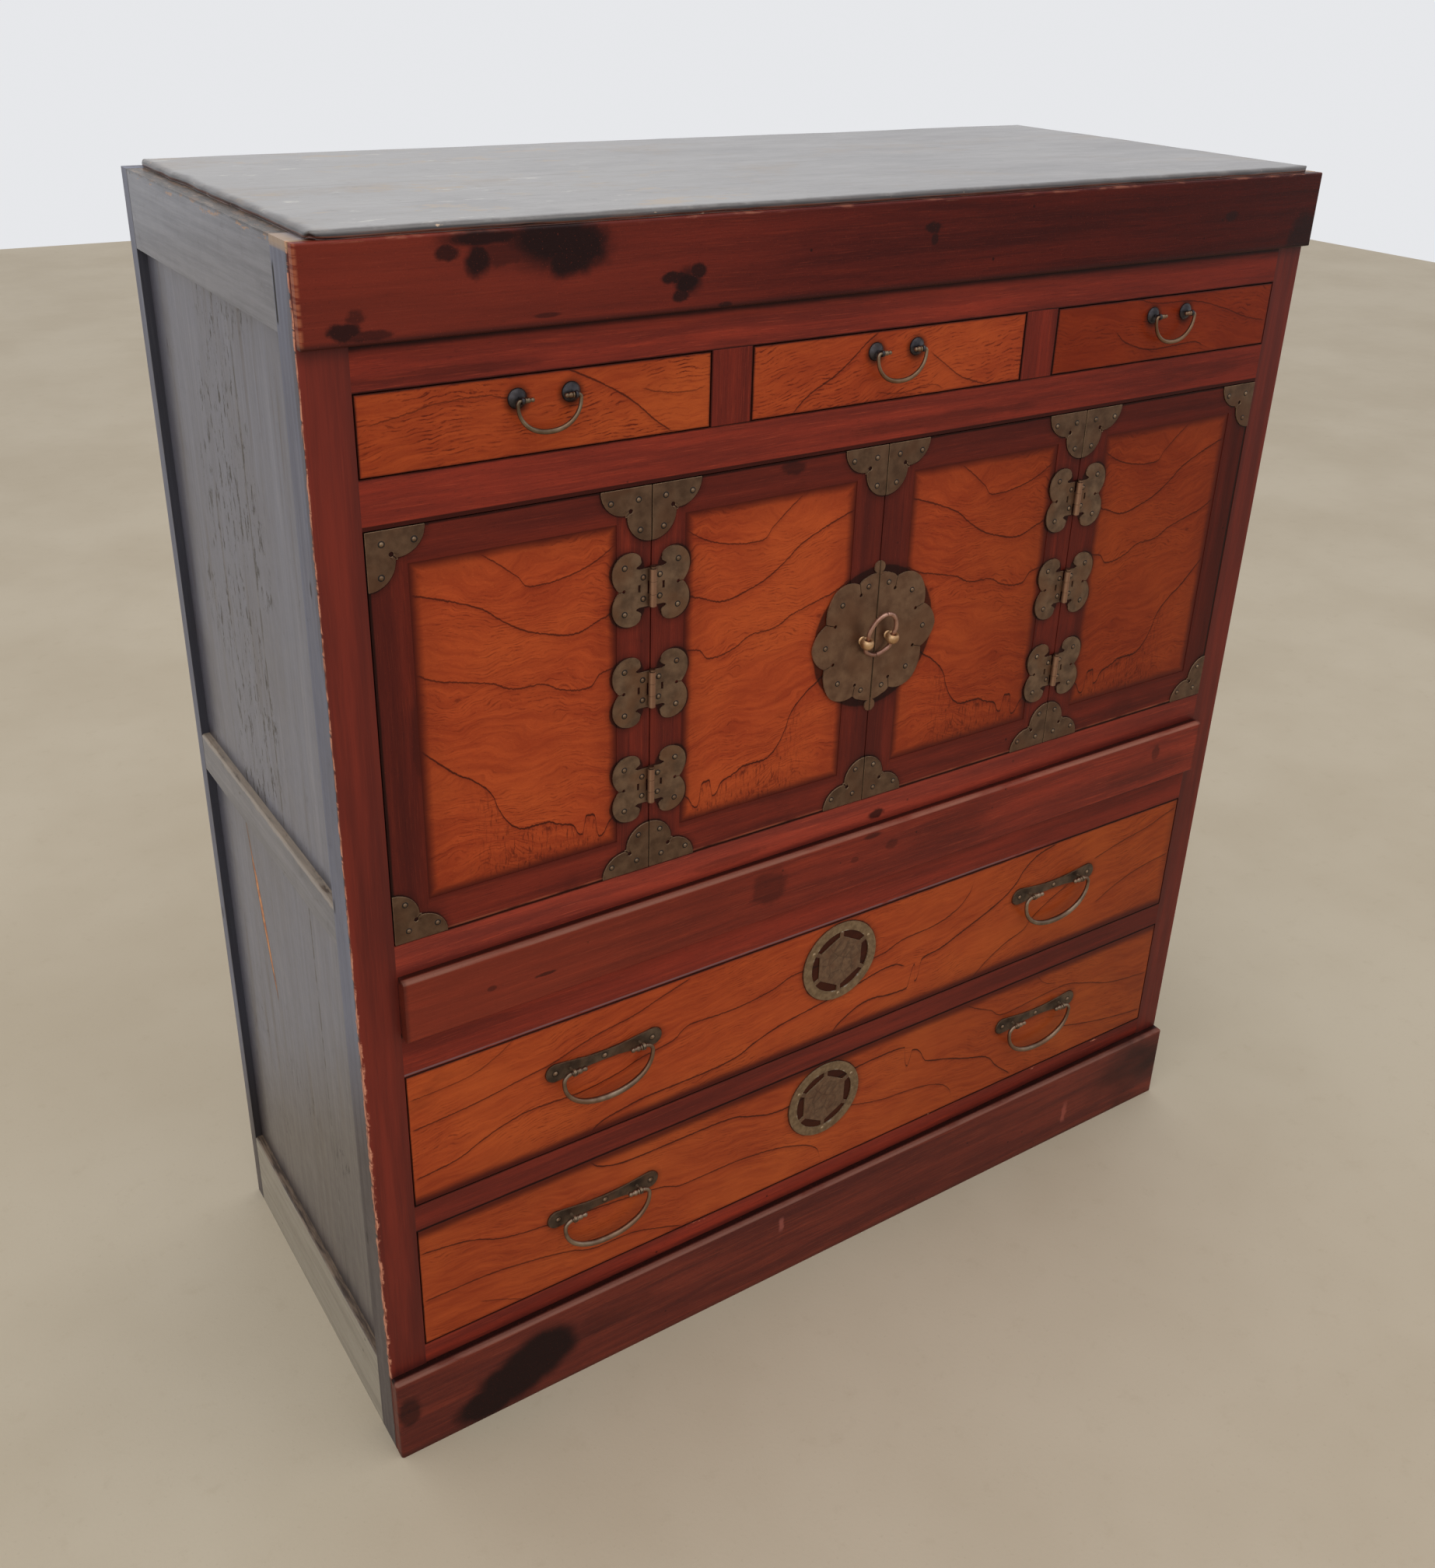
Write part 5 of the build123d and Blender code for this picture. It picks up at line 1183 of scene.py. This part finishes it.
def through(pts, ta, tb, n=8):
    """a smooth line through the points, with given directions at the ends"""
    tg = [ta] + [((pts[i + 1][0] - pts[i - 1][0]) / 2, (pts[i + 1][1] - pts[i - 1][1]) / 2) for i in range(1, len(pts) - 1)] + [tb]
    out = [pts[0]]
    for i in range(len(pts) - 1):
        out += hermite(pts[i], pts[i + 1], tg[i], tg[i + 1], n)
    return out


for s, who in ((-1, "left"), (1, "right")):
    low = through([(0.35, -17.0), (12.3, -12.0), (15.4, -5.4)], (14.0, 0.0), (0.0, 8.0))
    high = through([(15.4, 5.4), (16.2, 11.0), (14.3, 18.6), (9.6, 26.6), (0.35, 31.0)], (0.0, 5.0), (-12.0, 0.0))
    line = low + [(15.4, -2.0), (15.4, 2.0)] + high
    bm = bmesh.new()
    pts = [Vector((s * x, EY, EZ)) + UP * h for x, h in line]
    tube(bm, pts, [2.15 - 0.25 * max(0.0, 1 - abs(h) / 6.0) * 0.3 for x, h in line], 20)
    finish_piece(bm, f"ring_half_{who}_smooth", [M_RING], f"ring_half_{who}", f"ring_{who}")
    bm = bmesh.new()
    R, hf = 6.8, 4.7
    a = math.degrees(math.asin(hf / R))
    prof = [(-hf, 3.1), (-hf, R * math.cos(math.radians(a)) - 0.5)]
    prof += [(R * math.sin(math.radians(-a + 2 * a * i / 12)), R * math.cos(math.radians(-a + 2 * a * i / 12))) for i in range(13)]
    prof += [(hf, R * math.cos(math.radians(a)) - 0.5), (hf, 3.3), (hf - 1.3, 2.25), (-hf + 1.3, 2.25)]
    lathe(bm, (s * EX, EY, EZ), UP, prof, 28, loop=True)
    lathe(bm, (s * EX, -0.2, EZ), (0, -1, 0), [(0.0, 4.4), (2.0, 4.4), (2.3, 3.6), (3.2, 2.6), (6.4, 2.5)], 20)
    finish_piece(bm, f"door_{who}_eye_smooth", [M_EYE], f"door_{who}_eye", f"door_{who}")


def islands(o):
    """the middle and back of each loose part of a node, in millimetres"""
    bm = bmesh.new()
    bm.from_mesh(o.data)
    bmesh.ops.remove_doubles(bm, verts=bm.verts, dist=1e-6)
    seen, out = set(), []
    for v in bm.verts:
        if v.index in seen:
            continue
        stack, part = [v], []
        seen.add(v.index)
        while stack:
            q = stack.pop()
            part.append(q.co.copy())
            for e in q.link_edges:
                w = e.other_vert(q)
                if w.index not in seen:
                    seen.add(w.index)
                    stack.append(w)
        out.append(part)
    bm.free()
    mw = o.matrix_world
    res = []
    for part in out:
        pp = [mw @ c for c in part]
        xs, ys, zs = [[c[i] for c in pp] for i in range(3)]
        res.append(((min(xs) + max(xs)) * 500.0, (max(ys) - YC) * 1000.0, (min(zs) + max(zs)) * 500.0))
    return res


def nail_dome(bm, x, y, z, k):
    # a flat dark ring of painted shadow and grime round the head, and the domed head
    lathe(bm, (x, y, z), (0, -1, 0), [(0.0, 0.0), (0.0, 2.9), (0.10, 2.7), (0.14, 1.9)], 20, mi=1)
    lean = 0.06 * noise.noise(Vector((x * 0.7, z * 0.7, k)))
    prof = [(0.05, 1.9), (0.35, 1.85), (0.65, 1.55), (0.90, 1.05), (1.03, 0.5), (1.08, 0.0)]
    lathe(bm, (x, y, z), (lean, -1, lean), prof, 20, mi=0)


M_NAIL_SHADOW_GRIME = bronze("mat_nail_shadow_and_grime", dark=lin(22, 17, 14), light=lin(44, 34, 27), brown=lin(34, 22, 17), rough0=0.5, metal=0.4)
for n, body in (("fixed_nails", "case"), ("door_left_nails", "door_left"), ("door_right_nails", "door_right")):
    bm = bmesh.new()
    for i, (x, y, z) in enumerate(islands(NODES[n])):
        nail_dome(bm, x, y, z, i * 1.7)
    finish_piece(bm, n + "_smooth", [M_NAIL, M_NAIL_SHADOW_GRIME], n, body)


# -------------------------------------------------------------------- top board
def top_board():
    lo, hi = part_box("top_board")
    nx, ny = 240, 100
    bm = bmesh.new()
    ring = {}

    def wav(t, s, amp):
        return amp * (0.5 + 0.5 * noise.noise(Vector((t * 9.0, s, 0.3))) + 0.35 * noise.noise(Vector((t * 45.0, s, 1.3))))

    def edge(u, v):
        """a point of the board's outline, u and v from 0 to 1, pulled in by wear"""
        x = lo.x + (hi.x - lo.x) * u
        y = lo.y + (hi.y - lo.y) * v
        ins_x0 = wav(y, 1.0, 0.0035)
        ins_x1 = wav(y, 2.0, 0.0035)
        ins_y0 = wav(x, 3.0, 0.0042)
        ins_y1 = wav(x, 4.0, 0.0035)
        x0, x1 = lo.x + max(0, ins_x0), hi.x - max(0, ins_x1)
        y0, y1 = lo.y + max(0, ins_y0), hi.y - max(0, ins_y1)
        px, py = x0 + (x1 - x0) * u, y0 + (y1 - y0) * v
        # rounded corners
        r = 0.009
        for cx, sx in ((x0 + r, -1), (x1 - r, 1)):
            for cy, sy in ((y0 + r, -1), (y1 - r, 1)):
                dx, dy = (px - cx) * sx, (py - cy) * sy
                if dx > 0 and dy > 0:
                    m = max(dx, dy)
                    h = math.hypot(dx, dy)
                    if h > 0:
                        k = m / h
                        px, py = cx + dx * k * sx, cy + dy * k * sy
        return px, py, min(px - x0, x1 - px, py - y0, y1 - py)

    def us(n):
        a = [0.0, 0.0012, 0.003, 0.006]
        return a + [0.006 + (1 - 0.012) * i / (n - 7) for i in range(1, n - 7)] + [1 - q for q in reversed(a)]

    U, V = us(nx), us(ny)
    grid = []
    for v in V:
        row = []
        for u in U:
            x, y, d = edge(u, v)
            z = hi.z - 0.0006
            z += 0.0005 * noise.noise(Vector((x * 6, y * 9, 5.0)))
            # boards cup a little and lift at the front edge
            d = max(d, 0.0)
            z -= 0.0030 * max(0.0, 1 - d / 0.0042) ** 2.2
            crack = noise.noise(Vector((x * 2.2, y * 60.0, 9.0)))
            z -= 0.0004 * max(0.0, crack - 0.25)
            z = min(max(z, lo.z + 0.001), hi.z)
            row.append(bm.verts.new((x, y, z)))
        grid.append(row)
    for j in range(len(V) - 1):
        for i in range(len(U) - 1):
            bm.faces.new((grid[j][i], grid[j][i + 1], grid[j + 1][i + 1], grid[j + 1][i]))
    loop = grid[0][:] + [r[-1] for r in grid[1:]] + grid[-1][-2::-1] + [r[0] for r in grid[-2:0:-1]]
    prev = loop
    cx, cy = (lo.x + hi.x) / 2, (lo.y + hi.y) / 2
    for k, (dz, ins) in enumerate(((0.0012, -0.0), (0.0026, 0.0003), (0.0032, 0.0009), (0.0040, 0.0002), (9.0, 0.0012))):
        cur = []
        for q in loop:
            p = q.co
            z = lo.z if dz > 1 else max(lo.z + 0.0002, p.z - dz)
            nrm = Vector((p.x - cx, (p.y - cy) * 2.4, 0)).normalized()
            jit = 0.0006 * noise.noise(Vector((p.x * 30, p.y * 30, k * 7.0)))
            i2 = max(0.0, ins + jit)
            cur.append(bm.verts.new((p.x - nrm.x * i2, p.y - nrm.y * i2, z)))
        for i in range(len(loop)):
            j = (i + 1) % len(loop)
            bm.faces.new((prev[i], cur[i], cur[j], prev[j]))
        prev = cur
    bm.faces.new(list(reversed(prev)))
    bmesh.ops.recalc_face_normals(bm, faces=bm.faces)
    me = bpy.data.meshes.new("top_board_worn")
    bm.to_mesh(me)
    bm.free()
    for p in me.polygons:
        p.use_smooth = True
    o = bpy.data.objects.new("top_board_worn", me)
    bpy.context.scene.collection.objects.link(o)
    return o


def top_material():
    g = Graph("mat_top_board")
    warp = g.mul(g.sn(g.vec(g.mul(g.x, 0.006), g.mul(g.y, 0.010), 0.0), 1.0, 3), 16.0)
    yy = g.add(g.y, warp)
    broad = g.noise(g.vec(g.mul(g.x, 0.0050), g.mul(yy, 0.018), 0.0), 1.0, 5, 0.66)
    fine = g.noise(g.vec(g.mul(g.x, 0.03), g.mul(yy, 0.42), 0.0), 1.0, 4, 0.68)
    cloud = g.noise(g.vec(g.mul(g.x, 0.0065), g.mul(g.y, 0.009), 3.0), 1.0, 5, 0.66)
    spot = g.noise(g.vec(g.mul(g.x, 0.030), g.mul(g.y, 0.055), 5.0), 1.0, 5, 0.75)
    scr = g.noise(g.vec(g.mul(g.x, 0.013), g.mul(g.y, 0.07), 6.0), 1.0, 5, 0.75, 0.6)
    left = g.step(g.x, 260.0, -420.0)
    col = g.mix(g.step(broad, 0.30, 0.70), lin(96, 90, 88), lin(126, 121, 118))
    col = g.mix(g.mul(left, 0.55), col, lin(146, 142, 138))
    col = g.mix(g.mul(g.step(fine, 0.50, 0.30), 0.20), col, lin(66, 58, 55))
    col = g.mix(g.mul(g.step(cloud, 0.52, 0.68), 0.50), col, lin(124, 106, 86))
    col = g.mix(g.mul(g.step(cloud, 0.46, 0.34), 0.40), col, lin(84, 78, 76))
    col = g.mix(g.mul(g.step(spot, 0.58, 0.68), 0.35), col, lin(70, 58, 52))
    col = g.mix(g.mul(g.step(spot, 0.40, 0.30), 0.30), col, lin(158, 154, 146))
    col = g.mix(g.mul(g.step(scr, 0.64, 0.72), 0.38), col, lin(58, 48, 44))
    # brown bare patches and pale dust at the left end
    w = g.noise(g.vec(g.mul(g.x, 0.012), g.mul(g.y, 0.02), 9.0), 1.0, 5, 0.7)
    k = g.mul(g.step(w, 0.56, 0.66), g.step(g.x, 60.0, -240.0), 0.75)
    col = g.mix(k, col, lin(148, 124, 92))
    st = g.mul(g.step(g.noise(g.vec(g.mul(g.x, 0.02), g.mul(g.y, 0.05), 2.0), 1.0, 5, 0.7), 0.60, 0.70), g.step(g.x, -60.0, -300.0), 0.7)
    col = g.mix(st, col, lin(190, 184, 172))
    # seams between the boards, broken up
    for y0, sd in ((96.0, 1.0), (205.0, 2.0), (318.0, 3.0)):
        n = g.noise(g.vec(g.mul(g.x, 0.006), sd * 9.0, 0.0), 1.0, 4, 0.7)
        d = g.abs(g.sub(g.add(g.y, g.mul(g.sub(n, 0.5), 5.0)), y0))
        col = g.mix(g.mul(g.step(d, 1.4, 0.5), g.step(n, 0.46, 0.56), 0.5), col, lin(52, 40, 36))
    # dark worn rim with a few light chips
    ex = g.sub(527.0, g.abs(g.x))
    ey = g.min(g.sub(g.y, -5.0), g.sub(428.0, g.y))
    e = g.add(g.min(ex, ey), g.mul(g.sub(g.noise(g.P, 0.035, 4, 0.7), 0.5), 20.0))
    col = g.mix(g.mul(g.step(e, 12.0, 3.0), 0.70), col, lin(46, 36, 34))
    sid = g.step(g.z, 1188.2, 1186.8)
    sc = g.noise(g.vec(g.mul(g.x, 0.02), g.mul(g.y, 0.02), g.mul(g.z, 1.1)), 1.0, 4, 0.7)
    low = g.step(g.z, 1186.0, 1185.2)
    body = g.mix(g.step(sc, 0.45, 0.62), lin(24, 18, 18), lin(70, 48, 40))
    body = g.mix(g.mul(low, g.step(sc, 0.38, 0.55), 0.8), body, lin(112, 62, 44))
    col = g.mix(sid, col, body)
    chip = g.mul(g.step(g.noise(g.vec(g.mul(g.x, 0.055), g.mul(g.y, 0.055), g.mul(g.z, 0.2)), 1.0, 4, 0.7), 0.66, 0.70), g.step(e, 9.0, 2.0), 0.9)
    col = g.mix(chip, col, lin(188, 158, 130))
    rough = g.add(0.30, g.mul(cloud, 0.22), g.mul(scr, 0.12))
    g.bump(g.add(g.mul(broad, 0.9), g.mul(fine, 0.3), g.mul(scr, -0.4)), 0.0009, 0.5)
    return g.done(col, rough, spec=0.5, coat=0.6, coat_rough=0.22)


top = top_board()
top.data.materials.append(top_material())
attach(top, "case")
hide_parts("top_board")

# ------------------------------------------------------------------ floor, light
bpy.ops.mesh.primitive_plane_add(size=14.0, location=(0, 0, 0))
floor = bpy.context.object
floor.name = "floor"
g = Graph("mat_floor")
n1 = g.noise(g.P, 0.0016, 4, 0.6)
n2 = g.noise(g.P, 0.03, 4, 0.7)
n3 = g.noise(g.P, 0.22, 2, 0.6)
c = g.mix(g.step(n1, 0.3, 0.7), lin(184, 170, 147), lin(193, 180, 158))
c = g.mix(g.mul(g.step(n2, 0.55, 0.75), 0.20), c, lin(170, 154, 130))
c = g.mix(g.mul(g.step(n3, 0.62, 0.75), 0.16), c, lin(160, 144, 122))
g.bump(n3, 0.0006, 0.3)
floor.data.materials.append(g.done(c, g.add(0.62, g.mul(n2, 0.15)), spec=0.3))

scene = bpy.context.scene
scene.view_settings.view_transform = "Standard"
scene.view_settings.look = "None"
world = bpy.data.worlds.new("studio")
scene.world = world
world.use_nodes = True
bg = world.node_tree.nodes["Background"]
bg.inputs[0].default_value = (0.885, 0.895, 0.92, 1)
bg.inputs[1].default_value = 0.90


def area(name, loc, target, size, power, colour=(1, 1, 1)):
    d = bpy.data.lights.new(name, "AREA")
    d.shape = "RECTANGLE"
    d.size, d.size_y = size
    d.energy = power
    d.color = colour
    o = bpy.data.objects.new(name, d)
    scene.collection.objects.link(o)
    o.location = loc
    v = Vector(target) - Vector(loc)
    o.rotation_euler = v.to_track_quat("-Z", "Y").to_euler()
    return o


area("top_light", (-0.4, -0.6, 3.6), (0, 0, 0.6), (3.2, 3.2), 30.0, (1.0, 0.99, 0.97))
area("front_light", (-2.6, -3.2, 2.4), (0, 0, 0.6), (2.4, 2.2), 12.0, (1.0, 0.985, 0.96))

# ----------------------------------------------------------------------- camera
AZ, EL, ROLL, FPX = 0.5937, 0.4559, 0.0315, 1979.34
d = Vector((math.sin(AZ) * math.cos(EL), math.cos(AZ) * math.cos(EL), -math.sin(EL)))
r = Vector((math.cos(AZ), -math.sin(AZ), 0.0))
u = r.cross(d)
r2 = r * math.cos(ROLL) + u * math.sin(ROLL)
u2 = u * math.cos(ROLL) - r * math.sin(ROLL)
cam = bpy.data.cameras.new("camera")
co = bpy.data.objects.new("camera", cam)
scene.collection.objects.link(co)
R = Matrix((r2, u2, -d)).transposed()
co.matrix_world = Matrix.Translation(Vector((-0.8870, -1.0491 + YC, 1.3636))) @ R.to_4x4()
cam.sensor_fit = "VERTICAL"
cam.sensor_height = 36.0
cam.lens = FPX / 2016.0 * 36.0
cam.shift_x = 0.0
cam.shift_y = -(1008.0 - 914.8) / 2016.0
scene.camera = co
